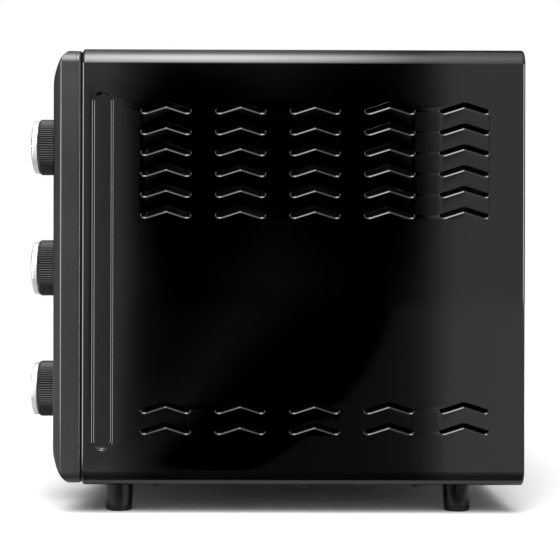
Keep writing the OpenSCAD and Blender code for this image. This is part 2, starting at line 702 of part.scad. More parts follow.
// Strips that join the contact pins on the left, one for the upper pair and one for the lower pair
module heater_links() color([0.75, 0.75, 0.72]) seat() for (z = [heater_low_z, heater_high_z]) difference() {
    x = chamber_x0 - sheet - contact_out + 0.5;
    block([x, heater_ys[0] - 5, z - 4], [x + sheet, heater_ys[1] + 5, z + 4]);
    for (y = heater_ys) rod_x(x - through, x + through, y, z, 1.25);
}

// ---- controls ----

// Housing behind the front plate with a threaded neck; children cut or add to the box
module control_body(z, w, h, d) difference() {
    union() {
        block([panel_mid_x - w / 2, body_y, z - h / 2], [panel_mid_x + w / 2, body_y + d, z + h / 2]);
        rod_y(neck_front, body_y + 1, panel_mid_x, z, neck_r);
    }
    rod_y(neck_front - through, body_y + 9, panel_mid_x, z, shaft_r + running);
}

module thermostat() color([0.85, 0.84, 0.8]) seat() {
    control_body(knob_zs[0], 34, thermostat_h, 20);
    for (s = [-1, 1]) block([panel_mid_x + s * 10 - 3, body_y + 20, knob_zs[0] - sheet / 2],
        [panel_mid_x + s * 10 + 3, body_y + 29, knob_zs[0] + sheet / 2]);
}

module function_switch() color([0.88, 0.86, 0.8]) seat() {
    control_body(knob_zs[1], 38, 38, 22);
    for (i = [-1, 0, 1], s = [-1, 1]) {
        x = panel_mid_x + i * 12;
        z = knob_zs[1] + s * 12;
        block([x - 2.4, body_y + 22, z - sheet / 2], [x + 2.4, body_y + 30, z + sheet / 2]);
    }
}

module timer() color([0.7, 0.7, 0.68]) seat() {
    control_body(knob_zs[2], 52, 50, timer_d);
    rod_y(body_y + timer_d, body_y + timer_d + bell_post_len, panel_mid_x, knob_zs[2], bell_post_r);
}

// Bell struck by the clockwork when the time is up
module timer_bell() color([0.78, 0.76, 0.7]) seat()
    translate([panel_mid_x, body_y + timer_d + 2, knob_zs[2]]) rotate([-90, 0, 0]) rotate_extrude() {
        hole_r = bell_post_r + 0.1;
        translate([hole_r, bell_h - bell_wall]) square([bell_r - hole_r, bell_wall]);
        translate([bell_r - bell_wall, 0]) square([bell_wall, bell_h]);
    }

// Capillary bulb under the chamber's ceiling, with its line through the right-hand wall to the thermostat
module thermostat_bulb() color([0.8, 0.55, 0.35]) seat() {
    rod_x(chamber_x1 - 60, chamber_x1 - 4, bulb_y, bulb_z, 2.6);
    for (x = [chamber_x1 - 50, chamber_x1 - 14])
        block([x, bulb_y - 1, bulb_z], [x + 2, bulb_y + 1, chamber_z1 - 0.1]);
    wire_run([[chamber_x1 - 5, bulb_y, bulb_z], [panel_mid_x, bulb_y, bulb_z],
        [panel_mid_x, body_y + 12, bulb_z],
        [panel_mid_x, body_y + 12, knob_zs[0] + thermostat_h / 2 + 0.2 + capillary_r]], capillary_r);
}

// Insulated leads between the terminal block, the controls and the heaters' right-hand contacts
module wiring() color([0.9, 0.9, 0.86]) seat() {
    near_x = shield_x + 6;
    timer_tag_x = panel_mid_x - 22;
    far_x = panel_x1 + 3;
    low_z = base_top + 10;
    timer_tag_y = body_y + timer_d + fit + lead_r;
    switch_tag_y = body_y + 30.2 + lead_r;
    thermostat_tag_y = body_y + 29.2 + lead_r;
    contact_x = chamber_x1 + sheet + contact_out + lead_r;
    wire_run([[gland_x - 10, terminal_y, low_z], [gland_x - 10, terminal_y - 20, low_z],
        [timer_tag_x, terminal_y - 20, low_z], [timer_tag_x, timer_tag_y, low_z],
        [timer_tag_x, timer_tag_y, knob_zs[2] + 20]], lead_r);
    wire_run([[gland_x + 10, terminal_y, low_z], [gland_x + 10, terminal_y - 20, low_z],
        [far_x, terminal_y - 20, low_z], [far_x, switch_tag_y, low_z], [far_x, switch_tag_y, knob_zs[1] - 12],
        [panel_mid_x + 12, switch_tag_y, knob_zs[1] - 12]], lead_r);
    wire_run([[panel_mid_x + 12, switch_tag_y, knob_zs[1] + 12], [far_x, switch_tag_y, knob_zs[1] + 12],
        [far_x, switch_tag_y, knob_zs[0]], [far_x, thermostat_tag_y, knob_zs[0]],
        [panel_mid_x + 10, thermostat_tag_y, knob_zs[0]]], lead_r);
    for (i = [0, 1]) {
        z = knob_zs[1] + (i * 2 - 1) * 12;
        heater_z = i ? heater_high_z : heater_low_z;
        wire_run([[panel_mid_x - 12, switch_tag_y, z], [near_x, switch_tag_y, z],
            [near_x, switch_tag_y, heater_z], [near_x, heater_ys[0], heater_z],
            [contact_x, heater_ys[0], heater_z]], lead_r);
    }
}

module control_nuts() color([0.8, 0.8, 0.82]) seat() for (z = knob_zs) difference() {
    translate([panel_mid_x, plate_y - 0.1, z]) rotate([90, 0, 0])
        cylinder(h = nut_h, r = neck_r + nut_rim, $fn = 6);
    rod_y(plate_y - 5, plate_y + 1, panel_mid_x, z, neck_r + running);
}

module indicator_lamp() color([0.9, 0.9, 0.88]) seat()
    rod_y(bezel_front + 5.2, plate_back + 6, panel_mid_x, lamp_z, lamp_r);

module indicator_lens() color([0.85, 0.12, 0.05, 0.8]) seat() {
    rod_y(bezel_front + 0.4, bezel_front + 5, panel_mid_x, lamp_z, lamp_r);
    rod_y(bezel_front - 0.8, bezel_front + 0.4, panel_mid_x, lamp_z, lamp_r + 0.9);
}

// Shaft outline with its flat on top
module shaft_outline(r) difference() {
    circle(r);
    translate([-r, r - shaft_flat]) square([2 * r, r]);
}

module control_shaft(z) seat() difference() {
    rod_y(knob_front + 4, body_y + 8, panel_mid_x, z, shaft_r);
    block([panel_mid_x - shaft_r - 1, knob_front, z + shaft_r - shaft_flat],
        [panel_mid_x + shaft_r + 1, neck_front - 2, z + shaft_r + 1]);
}

module knob(z) seat() difference() {
    union() {
        difference() {
            rod_y(knob_front, knob_back, panel_mid_x, z, knob_r);
            rod_y(knob_front + knob_wall, knob_back + through, panel_mid_x, z, knob_r - knob_wall);
        }
        rod_y(knob_front + knob_wall - 1, knob_back, panel_mid_x, z, hub_r);
    }
    for (i = [0 : knob_ribs - 1]) translate([panel_mid_x, 0, z]) rotate([0, i * 360 / knob_ribs, 0])
        rod_y(knob_front + 1.2, knob_back + through, knob_r + 0.15, 0, 0.55, $fn = 13);
    translate([panel_mid_x, 0, z]) slab(knob_front + 3.5, knob_back + through) shaft_outline(shaft_r + 0.1);
}

// Cap with a slightly domed face and a rounded rim
module knob_cap(z) seat() translate([panel_mid_x, knob_front, z]) rotate([90, 0, 0]) rotate_extrude() {
    r = knob_r - 1;
    rim = 1.2;
    dome_r = (r * r + cap_dome * cap_dome) / (2 * cap_dome);
    rim_z = cap_t - rim - (dome_r - sqrt(dome_r * dome_r - (r - rim) * (r - rim)));
    intersection() {
        square([r - rim, cap_t]);
        translate([0, cap_t - dome_r]) circle(dome_r, $fn = 400);
    }
    square([r, rim_z]);
    translate([r - rim, rim_z]) intersection() {
        circle(rim);
        square(rim);
    }
}

module temperature_knob() color([0.05, 0.05, 0.05]) knob(knob_zs[0]);
module temperature_knob_cap() color([0.85, 0.85, 0.86]) knob_cap(knob_zs[0]);
module temperature_shaft() color([0.75, 0.75, 0.77]) control_shaft(knob_zs[0]);
module function_knob() color([0.05, 0.05, 0.05]) knob(knob_zs[1]);
module function_knob_cap() color([0.85, 0.85, 0.86]) knob_cap(knob_zs[1]);
module function_shaft() color([0.75, 0.75, 0.77]) control_shaft(knob_zs[1]);
module timer_knob() color([0.05, 0.05, 0.05]) knob(knob_zs[2]);
module timer_knob_cap() color([0.85, 0.85, 0.86]) knob_cap(knob_zs[2]);
module timer_shaft() color([0.75, 0.75, 0.77]) control_shaft(knob_zs[2]);

// ---- feet, gland and fasteners ----

module foot(side, y) color([0.03, 0.03, 0.03]) seat()
    translate([side * (half_w - foot_inset), y, 0]) difference() {
        cylinder(h = base_z, r1 = foot_bottom_r, r2 = foot_top_r);
        rod_z(-through, base_z + through, 0, 0, foot_hole_r);
        rod_z(-through, foot_recess_h, 0, 0, foot_recess_r);
    }
module foot_front_left() foot(-1, foot_front_y);
module foot_front_right() foot(1, foot_front_y);
module foot_rear_left() foot(-1, casing_d - foot_rear_y);
module foot_rear_right() foot(1, casing_d - foot_rear_y);

// Screws up through the feet, each with a nut on the base plate
module foot_screws() color([0.7, 0.7, 0.72]) seat() foot_spots() {
    rod_z(foot_recess_h - 2.6, foot_recess_h, 0, 0, 4);
    rod_z(foot_recess_h - 0.5, base_top + 5, 0, 0, foot_screw_r);
    translate([0, 0, base_top]) cylinder(h = 3.2, r = 4, $fn = 6);
}

module bezel_screws() color([0.62, 0.62, 0.64]) seat() for (spot = bezel_screw_spots)
    pan_screw(spot[0], plate_back, spot[1], plate_back - bezel_screw_tip);

module chamber_screws() color([0.62, 0.62, 0.64]) seat() for (spot = chamber_screw_spots)
    pan_screw(spot[0], plate_y, spot[1], 6, -1);

module rear_screws() color([0.62, 0.62, 0.64]) seat() {
    for (s = [-1, 1], z = rear_side_zs) pan_screw(s * (half_w - rear_screw_b), casing_d, z, 7);
    for (x = rear_top_xs) pan_screw(x, casing_d, casing_z1 - rear_screw_b, 7);
}

module base_screws() color([0.62, 0.62, 0.64]) seat() for (s = [-1, 1], y = base_screw_ys) {
    rod_z(casing_z0, base_top + 5, s * base_screw_x, y, screw_r);
    rod_z(casing_z0 - screw_head_h, casing_z0, s * base_screw_x, y, screw_head_r);
}

module cord_gland() color([0.03, 0.03, 0.03]) seat() difference() {
    union() {
        rod_y(casing_d + gland_reach - lead_hole_len, casing_d + gland_reach, gland_x, gland_z, gland_r);
        rod_y(rear_y + 0.1, rear_y + 2.6, gland_x, gland_z, gland_flange_r);
        rod_y(casing_d + gland_reach - lead_hole_len, rear_y - sheet - 0.1, gland_x, gland_z, gland_r + 1.2);
    }
    rod_y(0, casing_d + gland_reach + through, gland_x, gland_z, lead_hole_r);
}

module terminal_block() color([0.9, 0.89, 0.85]) seat() difference() {
    block([gland_x - 16, terminal_y + lead_r + 0.2, base_top + 0.1],
        [gland_x + 16, terminal_y + 20, base_top + 16]);
    for (i = [-1, 0, 1]) rod_y(terminal_y, terminal_y + 20 + through, gland_x + i * 10, base_top + 10, 2);
}

// ---- door ----

module hinge_bracket(x0, x1) seat() difference() {
    block([x0, hinge_y - 5.6, hinge_z - bracket_h / 2], [x1, skirt_back, hinge_z + bracket_h / 2]);
    rod_x(x0 - through, x1 + through, hinge_y, hinge_z, hinge_bore_r);
}
module hinge_bracket_left() color([0.6, 0.6, 0.62]) hinge_bracket(bracket_left_x0, opening_x0 - 0.2);
module hinge_bracket_right() color([0.6, 0.6, 0.62]) hinge_bracket(opening_x1 + 0.2, bracket_right_x1);

// Close-wound spring round a hinge pin, in the door's counterbore, with its turns joined into one tube
module door_spring(x0) seat() {
    turn = 2 * spring_wire_r * 0.98;
    turns = floor((spring_len - 2 * spring_wire_r) / turn) + 1;
    for (i = [0 : turns - 1]) translate([x0 + spring_wire_r + i * turn, hinge_y, hinge_z])
        rotate([0, 90, 0]) rotate_extrude() translate([spring_r, 0]) circle(spring_wire_r, $fn = 16);
}
module door_spring_left() color([0.7, 0.7, 0.72]) door_spring(opening_x0);
module door_spring_right() color([0.7, 0.7, 0.72]) door_spring(opening_x1 - spring_len);

module door_frame() color([0.045, 0.045, 0.05]) seat() difference() {
    union() {
        block([door_x0, door_face, hinge_z], [door_x1, door_back, door_z1]);
        rod_x(door_x0, door_x1, hinge_y, hinge_z, door_t / 2);
    }
    block([window_x0, door_face - through, window_z0], [window_x1, door_back + through, window_z1]);
    block([window_x0 - glass_lap, glass_back - glass_t - 0.1, window_z0 - glass_lap],
        [window_x1 + glass_lap, door_back + through, window_z1 + glass_lap]);
    rod_x(door_x0 - through, opening_x0 + spring_len + 0.5, hinge_y, hinge_z, spring_bore_r);
    rod_x(opening_x1 - spring_len - 0.5, door_x1 + through, hinge_y, hinge_z, spring_bore_r);
    rod_x(door_x0, door_x0 + pin_grip, hinge_y, hinge_z, hinge_bore_r);
    rod_x(door_x1 - pin_grip, door_x1, hinge_y, hinge_z, hinge_bore_r);
    for (s = [-1, 1]) rod_y(door_face - through, door_back + through, door_mid_x + s * post_x, handle_z,
        screw_hole_r);
}

module door_glass() color([0.35, 0.38, 0.4, 0.35]) seat() block(
    [window_x0 - glass_lap + fit, glass_back - glass_t, window_z0 - glass_lap + fit],
    [window_x1 + glass_lap - fit, glass_back, window_z1 + glass_lap - fit]);

module glass_retainer() color([0.62, 0.63, 0.64]) seat() difference() {
    block([window_x0 - glass_lap + fit, glass_back + 0.1, window_z0 - glass_lap + fit],
        [window_x1 + glass_lap - fit, glass_back + 0.1 + retainer_t, window_z1 + glass_lap - fit]);
    block([window_x0 + 1, glass_back - through, window_z0 + 1],
        [window_x1 - 1, door_back + through, window_z1 - 1]);
}

// Section of the handle bar: x is towards the front, y is up
module handle_section() {
    r = handle_t / 2 - 0.01;
    round_rect(-handle_t / 2, handle_t / 2, -handle_h / 2, handle_h / 2, r);
}

// Sweeps an outline along the handle's bow; the outline's x is the distance ahead of the bar's middle line
module along_bow(len) {
    half_angle = asin(len / 2 / handle_bow_r);
    translate([door_mid_x, door_face - handle_reach + handle_t / 2 + handle_bow_r, handle_z])
        rotate([0, 0, -90 - half_angle]) rotate_extrude(angle = 2 * half_angle, $fn = 200)
            translate([handle_bow_r, 0]) children();
}

module door_handle() color([0.05, 0.05, 0.05]) seat() difference() {
    along_bow(handle_len) handle_section();
    along_bow(handle_len + 4) translate([handle_t / 2 - 1.2, -2.5]) square([4, 5]);
    for (s = [-1, 1])
        rod_y(post_front - 0.1, door_face, door_mid_x + s * post_x, handle_z, post_r + 0.02);
}

// Bright strip let into the front of the handle
module handle_trim() color([0.85, 0.85, 0.86]) seat()
    along_bow(handle_len - 6) translate([handle_t / 2 - 1.1, -2.4]) square([1.1, 4.8]);

module handle_posts() color([0.05, 0.05, 0.05]) seat() for (s = [-1, 1]) difference() {
    rod_y(post_front, door_face, door_mid_x + s * post_x, handle_z, post_r);
    rod_y(door_face - 12, door_face + through, door_mid_x + s * post_x, handle_z, screw_r + running);
}

module handle_screws() color([0.7, 0.7, 0.72]) seat() for (s = [-1, 1])
    pan_screw(door_mid_x + s * post_x, door_back, handle_z, door_t + 10);

module hinge_pins() color([0.75, 0.75, 0.77]) seat() {
    rod_x(bracket_left_x0 + 0.2, door_x0 + pin_grip - 1, hinge_y, hinge_z, hinge_pin_r);
    rod_x(door_x1 - pin_grip + 1, bracket_right_x1 - 0.2, hinge_y, hinge_z, hinge_pin_r);
}

// ---- rack and crumb tray ----

// Frame of round rod bent at its four corners, a thinner stay across it, and thin rods welded on top
module wire_rack() color([0.82, 0.82, 0.83]) seat() {
    x0 = chamber_x0 + 5;
    x1 = chamber_x1 - 5;
    y0 = plate_back + 6;
    y1 = chamber_d - 8;
    z = rack_z + 0.1 + rack_frame_r;
    top = z + rack_frame_r + rack_rod_r - 0.3;
    for (x = [x0, x1]) rod_y(y0 + rack_bend_r, y1 - rack_bend_r, x, z, rack_frame_r);
    for (y = [y0, y1]) rod_x(x0 + rack_bend_r, x1 - rack_bend_r, y, z, rack_frame_r);
    for (corner = [[x0, y0, 1, 1, 180], [x1, y0, -1, 1, 270], [x1, y1, -1, -1, 0], [x0, y1, 1, -1, 90]])
        translate([corner[0] + corner[2] * rack_bend_r, corner[1] + corner[3] * rack_bend_r, z])
            rotate([0, 0, corner[4]]) rotate_extrude(angle = 90)
                translate([rack_bend_r, 0]) circle(rack_frame_r);
    rod_x(x0, x1, (y0 + y1) / 2, z + rack_frame_r - rack_stay_r, rack_stay_r);
    for (i = [1 : rack_rods]) rod_y(y0 - 1, y1 + 1, x0 + (x1 - x0) * i / (rack_rods + 1), top, rack_rod_r);
}

module crumb_tray() color([0.7, 0.7, 0.69]) seat() {
    y1 = chamber_d - 4;
    lip_z1 = slot_z1 - 0.6;
    difference() {
        block([tray_x0, tray_front, tray_z0], [tray_x1, y1, tray_z0 + tray_rim_h]);
        block([tray_x0 + sheet, tray_front + 1.2, tray_z0 + sheet],
            [tray_x1 - sheet, y1 - sheet, tray_z0 + tray_rim_h + through]);
    }
    block([tray_x0 + sheet, tray_front, tray_z0], [tray_x1 - sheet, tray_front + 1.2, lip_z1]);
    block([door_mid_x - 30, tray_front - 5, lip_z1 - 1.2], [door_mid_x + 30, tray_front + 0.5, lip_z1]);
}

casing();
base_plate();
rear_panel();
front_plate();
front_bezel();
control_panel();
oven_chamber();
chamber_brackets();
heat_shield();
rack_rail_left();
rack_rail_right();
heater_upper_front();
heater_upper_rear();
heater_lower_front();
heater_lower_rear();
heater_insulators();
heater_links();
thermostat();
thermostat_bulb();
function_switch();
timer();
timer_bell();
control_nuts();
indicator_lamp();
indicator_lens();
foot_front_left();
foot_front_right();
foot_rear_left();
foot_rear_right();
foot_screws();
cord_gland();
terminal_block();
wiring();
bezel_screws();
chamber_screws();
rear_screws();
base_screws();
hinge_bracket_left();
hinge_bracket_right();
door_spring_left();
door_spring_right();
door_frame();
door_glass();
glass_retainer();
door_handle();
handle_trim();
handle_posts();
handle_screws();
hinge_pins();
wire_rack();
crumb_tray();
temperature_knob();
temperature_knob_cap();
temperature_shaft();
function_knob();
function_knob_cap();
function_shaft();
timer_knob();
timer_knob_cap();
timer_shaft();
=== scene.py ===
# Dresses a countertop toaster oven: enamelled casing, moulded bezel, glass door, three knobs, rack and tray.
import math

import bmesh
import bpy
from mathutils import Matrix, Vector
from mathutils.geometry import delaunay_2d_cdt


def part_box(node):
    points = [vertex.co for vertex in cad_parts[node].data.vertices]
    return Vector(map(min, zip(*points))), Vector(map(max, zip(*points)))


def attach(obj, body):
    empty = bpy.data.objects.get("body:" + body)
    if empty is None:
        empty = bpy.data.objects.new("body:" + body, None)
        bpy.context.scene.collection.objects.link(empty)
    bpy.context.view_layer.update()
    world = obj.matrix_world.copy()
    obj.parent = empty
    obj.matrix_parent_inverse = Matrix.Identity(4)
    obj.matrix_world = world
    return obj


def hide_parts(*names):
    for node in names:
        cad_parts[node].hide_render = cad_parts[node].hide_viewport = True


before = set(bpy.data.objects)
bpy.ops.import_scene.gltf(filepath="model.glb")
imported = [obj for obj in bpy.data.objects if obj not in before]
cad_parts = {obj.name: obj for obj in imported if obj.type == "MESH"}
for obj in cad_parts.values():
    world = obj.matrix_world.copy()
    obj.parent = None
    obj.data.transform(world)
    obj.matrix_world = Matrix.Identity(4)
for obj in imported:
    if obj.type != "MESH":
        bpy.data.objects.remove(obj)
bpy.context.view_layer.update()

MM = 0.001
MERGE = 2e-6
CONTROLS = ("temperature", "function", "timer")
scene = bpy.context.scene
scene.view_settings.view_transform = "Standard"


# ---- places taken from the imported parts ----

class Box:
    """A box: corners and middle in metres, width, depth and height in millimetres."""

    def __init__(self, low, high):
        self.low = low
        self.high = high
        self.mid = (low + high) / 2
        self.wide = (high.x - low.x) / MM
        self.deep = (high.y - low.y) / MM
        self.tall = (high.z - low.z) / MM


def box(part):
    return Box(*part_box(part))


casing = box("casing")
HALF_W = casing.high.x
FRONT_Y = casing.low.y
REAR_Y = casing.high.y
BOTTOM_Z = casing.low.z
TOP_Z = casing.high.z
door = box("door_frame")
MID_X = (door.low.x + door.high.x) / 2


# ---- nodes ----

class Number:
    """An output in a node tree. Sums written with it become maths nodes."""

    def __init__(self, tree, socket):
        self.tree = tree
        self.socket = socket

    def to(self, operation, *others):
        return maths(self.tree, operation, self, *others)

    def __add__(self, other):
        return self.to("ADD", other)

    def __sub__(self, other):
        return self.to("SUBTRACT", other)

    def __rsub__(self, other):
        return maths(self.tree, "SUBTRACT", other, self)

    def __mul__(self, other):
        return self.to("MULTIPLY", other)

    def __truediv__(self, other):
        return self.to("DIVIDE", other)

    def __abs__(self):
        return self.to("ABSOLUTE")

    def into(self, socket):
        self.tree.links.new(self.socket, socket)


def add_node(tree, kind, inputs=None, **settings):
    """Adds a node, sets its properties and gives its inputs values or links."""
    made = tree.nodes.new(kind)
    for key, value in settings.items():
        setattr(made, key, value)
    for key, value in (inputs or {}).items():
        if isinstance(value, Number):
            value.into(made.inputs[key])
        elif isinstance(value, bpy.types.NodeSocket):
            tree.links.new(value, made.inputs[key])
        else:
            made.inputs[key].default_value = value
    return made


def node(tree, kind, output, inputs=None, **settings):
    """Adds a node and gives one of its outputs."""
    return Number(tree, add_node(tree, kind, inputs, **settings).outputs[output])


def maths(tree, operation, *values):
    return node(tree, "ShaderNodeMath", 0, dict(enumerate(values)), operation=operation)


def parts_of(vector):
    """The x, y and z of a vector output."""
    made = add_node(vector.tree, "ShaderNodeSeparateXYZ", {0: vector})
    return [Number(vector.tree, output) for output in made.outputs]


def ramp(value, low, high, start=0.0, **settings):
    """Goes from start at low to 1 at high and stays level beyond them."""
    return node(value.tree, "ShaderNodeMapRange", "Result",
                {"Value": value, "From Min": low, "From Max": high, "To Min": start}, **settings)


def soft_ramp(value, low, high):
    return ramp(value, low, high, interpolation_type="SMOOTHSTEP")


def read_off(points, value):
    """Value read off a curve through (input, output) points."""
    low = points[0][0]
    high = points[-1][0]
    top = max(y for x, y in points)
    curve = add_node(value.tree, "ShaderNodeFloatCurve", {"Value": ramp(value, low, high)})
    line = curve.mapping.curves[0]
    spots = [((x - low) / (high - low), y / top) for x, y in points]
    line.points[0].location = spots[0]
    line.points[1].location = spots[-1]
    for spot in spots[1:-1]:
        line.points.new(*spot)
    curve.mapping.update()
    return Number(value.tree, curve.outputs["Value"]) * top


def mixed(share, a, b):
    return node(share.tree, "ShaderNodeMix", "Result", {"Factor": share, "A": a, "B": b})


def degrees(across, ahead):
    """Angle of a direction, from its two legs."""
    return across.to("ARCTAN2", ahead) * (180 / math.pi)


def length(a, b):
    return (a * a + b * b).to("SQRT")


# ---- outlines ----

def quarter(steps):
    """Angles of a quarter turn, in radians."""
    return [math.pi / 2 * i / steps for i in range(steps + 1)]


def arc(cx, cy, radius, start, end, steps):
    """Points of an arc, angles in degrees."""
    turns = [math.radians(start + (end - start) * i / steps) for i in range(steps + 1)]
    return [(cx + radius * math.cos(turn), cy + radius * math.sin(turn)) for turn in turns]


def rounded(x0, x1, y0, y1, radius, steps=8):
    """Rectangle with rounded corners, anticlockwise from the right end of its top right corner."""
    left = x0 + radius
    right = x1 - radius
    low = y0 + radius
    high = y1 - radius
    loop = []
    for k, (x, y) in enumerate(((right, high), (left, high), (left, low), (right, low))):
        loop += arc(x, y, radius, 90 * k, 90 * k + 90, steps)
    return loop


def round_hole(x, y, radius, steps=32):
    """Outline of a hole as a function of how far it is widened."""
    return lambda grow: arc(x, y, radius + grow, 0, 360 - 360 / steps, steps - 1)


def plate_outline(half_w, half_h, radius, steps=6):
    """Outline of a plate as a function of how far it is widened."""
    def outline(grow):
        x = half_w + grow
        y = half_h + grow
        return rounded(-x, x, -y, y, radius + grow, steps)

    return outline


def inside(point, loop):
    """Whether a point lies inside a closed outline."""
    crossings = 0
    for (x0, y0), (x1, y1) in zip(loop, loop[1:] + loop[:1]):
        if (y0 > point[1]) != (y1 > point[1]) and point[0] < x0 + (point[1] - y0) * (x1 - x0) / (y1 - y0):
            crossings += 1
    return crossings % 2 == 1


def flat_sheet(boundary, holes):
    """Points and triangles of a flat sheet between its boundary and its holes."""
    points = []
    edges = []
    owner = []
    for number, loop in enumerate([boundary] + holes, -1):
        start = len(points)
        edges += [(start + (i - 1) % len(loop), start + i) for i in range(len(loop))]
        points += loop
        owner += [number] * len(loop)
    made, _, triangles, sources, _, _ = delaunay_2d_cdt([Vector(p) for p in points], edges, [], 1, 1e-5)
    made = [(p.x, p.y) for p in made]
    owners = [{owner[i] for i in source} for source in sources]
    kept = []
    for triangle in triangles:
        shared = owners[triangle[0]] & owners[triangle[1]] & owners[triangle[2]] - {-1}
        middle = [sum(made[i][k] for i in triangle) / 3 for k in (0, 1)]
        if not any(inside(middle, holes[number]) for number in shared):
            kept.append(triangle)
    return made, kept


# ---- meshes ----

class Skin:
    """Points and faces of a surface while it is built up."""

    def __init__(self):
        self.points = []
        self.faces = []

    def lift(self, outline, place=tuple):
        """Adds an outline's points, each put in its place, and gives their numbers."""
        start = len(self.points)
        self.points += [place(p) for p in outline]
        return list(range(start, len(self.points)))

    def bridge(self, loops):
        """Joins each loop of points to the next one."""
        for a, b in zip(loops, loops[1:]):
            self.faces += [(a[i - 1], a[i], b[i], b[i - 1]) for i in range(len(a))]

    def sheet(self, boundary, holes, place):
        """Adds a flat sheet with holes."""
        flat, triangles = flat_sheet(boundary, holes)
        ids = self.lift(flat, place)
        self.faces += [tuple(ids[i] for i in triangle) for triangle in triangles]

    def mesh(self, name):
        mesh = bpy.data.meshes.new(name)
        mesh.from_pydata(self.points, [], self.faces)
        return mesh


def held(name, mesh):
    """New object in the scene."""
    made = bpy.data.objects.new(name, mesh)
    scene.collection.objects.link(made)
    return made


def evaluated(holder):
    """Mesh of an object with its modifiers applied. The object is taken away."""
    graph = bpy.context.evaluated_depsgraph_get()
    made = bpy.data.meshes.new_from_object(
        holder.evaluated_get(graph), preserve_all_data_layers=True, depsgraph=graph)
    holder.modifiers.clear()
    bpy.data.objects.remove(holder)
    return made


def baked(mesh, kind, **settings):
    """Mesh with one modifier applied."""
    holder = held("holder", mesh)
    modifier = holder.modifiers.new(kind, kind)
    for key, value in settings.items():
        setattr(modifier, key, value)
    return evaluated(holder)


def tidied(mesh, merge=MERGE):
    """Merges doubles and turns every closed shell outwards."""
    work = bmesh.new()
    work.from_mesh(mesh)
    bmesh.ops.remove_doubles(work, verts=work.verts, dist=merge)
    bmesh.ops.dissolve_degenerate(work, edges=work.edges, dist=merge / 4)
    bmesh.ops.recalc_face_normals(work, faces=work.faces)
    work.to_mesh(mesh)
    work.free()
    return mesh


def shaded(mesh, angle):
    """Smooth shading that keeps flat faces flat and edges over an angle sharp."""
    for polygon in mesh.polygons:
        polygon.use_smooth = True
    mesh.set_sharp_from_angle(angle=math.radians(angle))
    return baked(mesh, "WEIGHTED_NORMAL", keep_sharp=True, weight=60)


def fitted(name, mesh, material, body, slot, *replaced, angle=40):
    """Puts a finished mesh into the scene as a piece of the oven; without an angle it keeps its flat faces."""
    piece = held(name, shaded(mesh, angle) if angle else mesh)
    piece.data.materials.clear()
    piece.data.materials.append(material)
    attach(piece, body)
    if replaced:
        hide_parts(*replaced)


def turned(profile, segments=48, ring=False):
    """Solid turned about z from (radius, height) pairs in millimetres, from its lower pole to its upper pole."""
    skin = Skin()
    turns = [2 * math.pi * i / segments for i in range(segments)]
    rows = [skin.lift([0.0] if radius == 0 else turns,
                      lambda t, r=radius, h=height: (r * math.cos(t) * MM, r * math.sin(t) * MM, h * MM))
            for radius, height in profile]
    for low, high in zip(rows, rows[1:] + rows[:1] if ring else rows[1:]):
        for i in range(segments):
            face = list(dict.fromkeys([low[i % len(low)], low[(i + 1) % len(low)], high[(i + 1) % len(high)],
                                       high[i % len(high)]]))
            if len(face) > 2:
                skin.faces.append(face)
    return tidied(skin.mesh("turned"))


def tube_of(loops, closed=True):
    """Skin over a row of equal loops. When closed, the last loop is joined back to the first."""
    skin = Skin()
    ids = [skin.lift(loop) for loop in loops]
    skin.bridge(ids + ids[:1] if closed else ids)
    if not closed:
        skin.faces += [ids[0], ids[-1][::-1]]
    return tidied(skin.mesh("tube"))


def pierced_plate(boundary, holes, thickness, lip):
    """Flat plate with rounded rims, its front at height 0. Its outlines are functions of how far they widen."""
    skin = Skin()

    def at(height):
        return lambda p: (p[0] * MM, p[1] * MM, height * MM)

    for height, rim in ((0, lip), (-thickness, 0.0)):
        skin.sheet(boundary(-rim), [hole(rim) for hole in holes], at(height))
    for shape, sign in [(boundary, -1)] + [(hole, 1) for hole in holes]:
        loops = []
        for t in quarter(3):
            loops.append(skin.lift(shape(sign * lip * (1 - math.sin(t))), at(-lip * (1 - math.cos(t)))))
        skin.bridge(loops + [skin.lift(shape(0.0), at(-thickness))])
    return tidied(skin.mesh("plate"))


# Local z points to the named side; on a piece that faces the front, local y points up.
FACING = {"front": Matrix.Rotation(math.pi / 2, 4, "X"), "rear": Matrix.Rotation(-math.pi / 2, 4, "X"),
          "up": Matrix.Identity(4), "down": Matrix.Rotation(math.pi, 4, "X"),
          "right": Matrix.Rotation(math.pi / 2, 4, "Y")}


def placed(mesh, place, facing="up"):
    mesh = mesh.copy()
    mesh.transform(Matrix.Translation(place) @ FACING[facing])
    return mesh


def joined(meshes):
    work = bmesh.new()
    for mesh in meshes:
        work.from_mesh(mesh)
    made = bpy.data.meshes.new("joined")
    work.to_mesh(made)
    work.free()
    return made


def islands(part):
    """Boxes of the separate solids of a CAD piece."""
    work = bmesh.new()
    work.from_mesh(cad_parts[part].data)
    bmesh.ops.remove_doubles(work, verts=work.verts, dist=MERGE)
    left = set(work.verts)
    boxes = []
    while left:
        reach = [left.pop()]
        found = []
        while reach:
            vert = reach.pop()
            found.append(vert.co.copy())
            near = {edge.other_vert(vert) for edge in vert.link_edges} & left
            left -= near
            reach += near
        boxes.append([Vector([pick(co[k] for co in found) for k in range(3)]) for pick in (min, max)])
    work.free()
    return [Box(*corners) for corners in sorted(boxes, key=lambda corners: tuple(corners[0]))]


# ---- camera ----

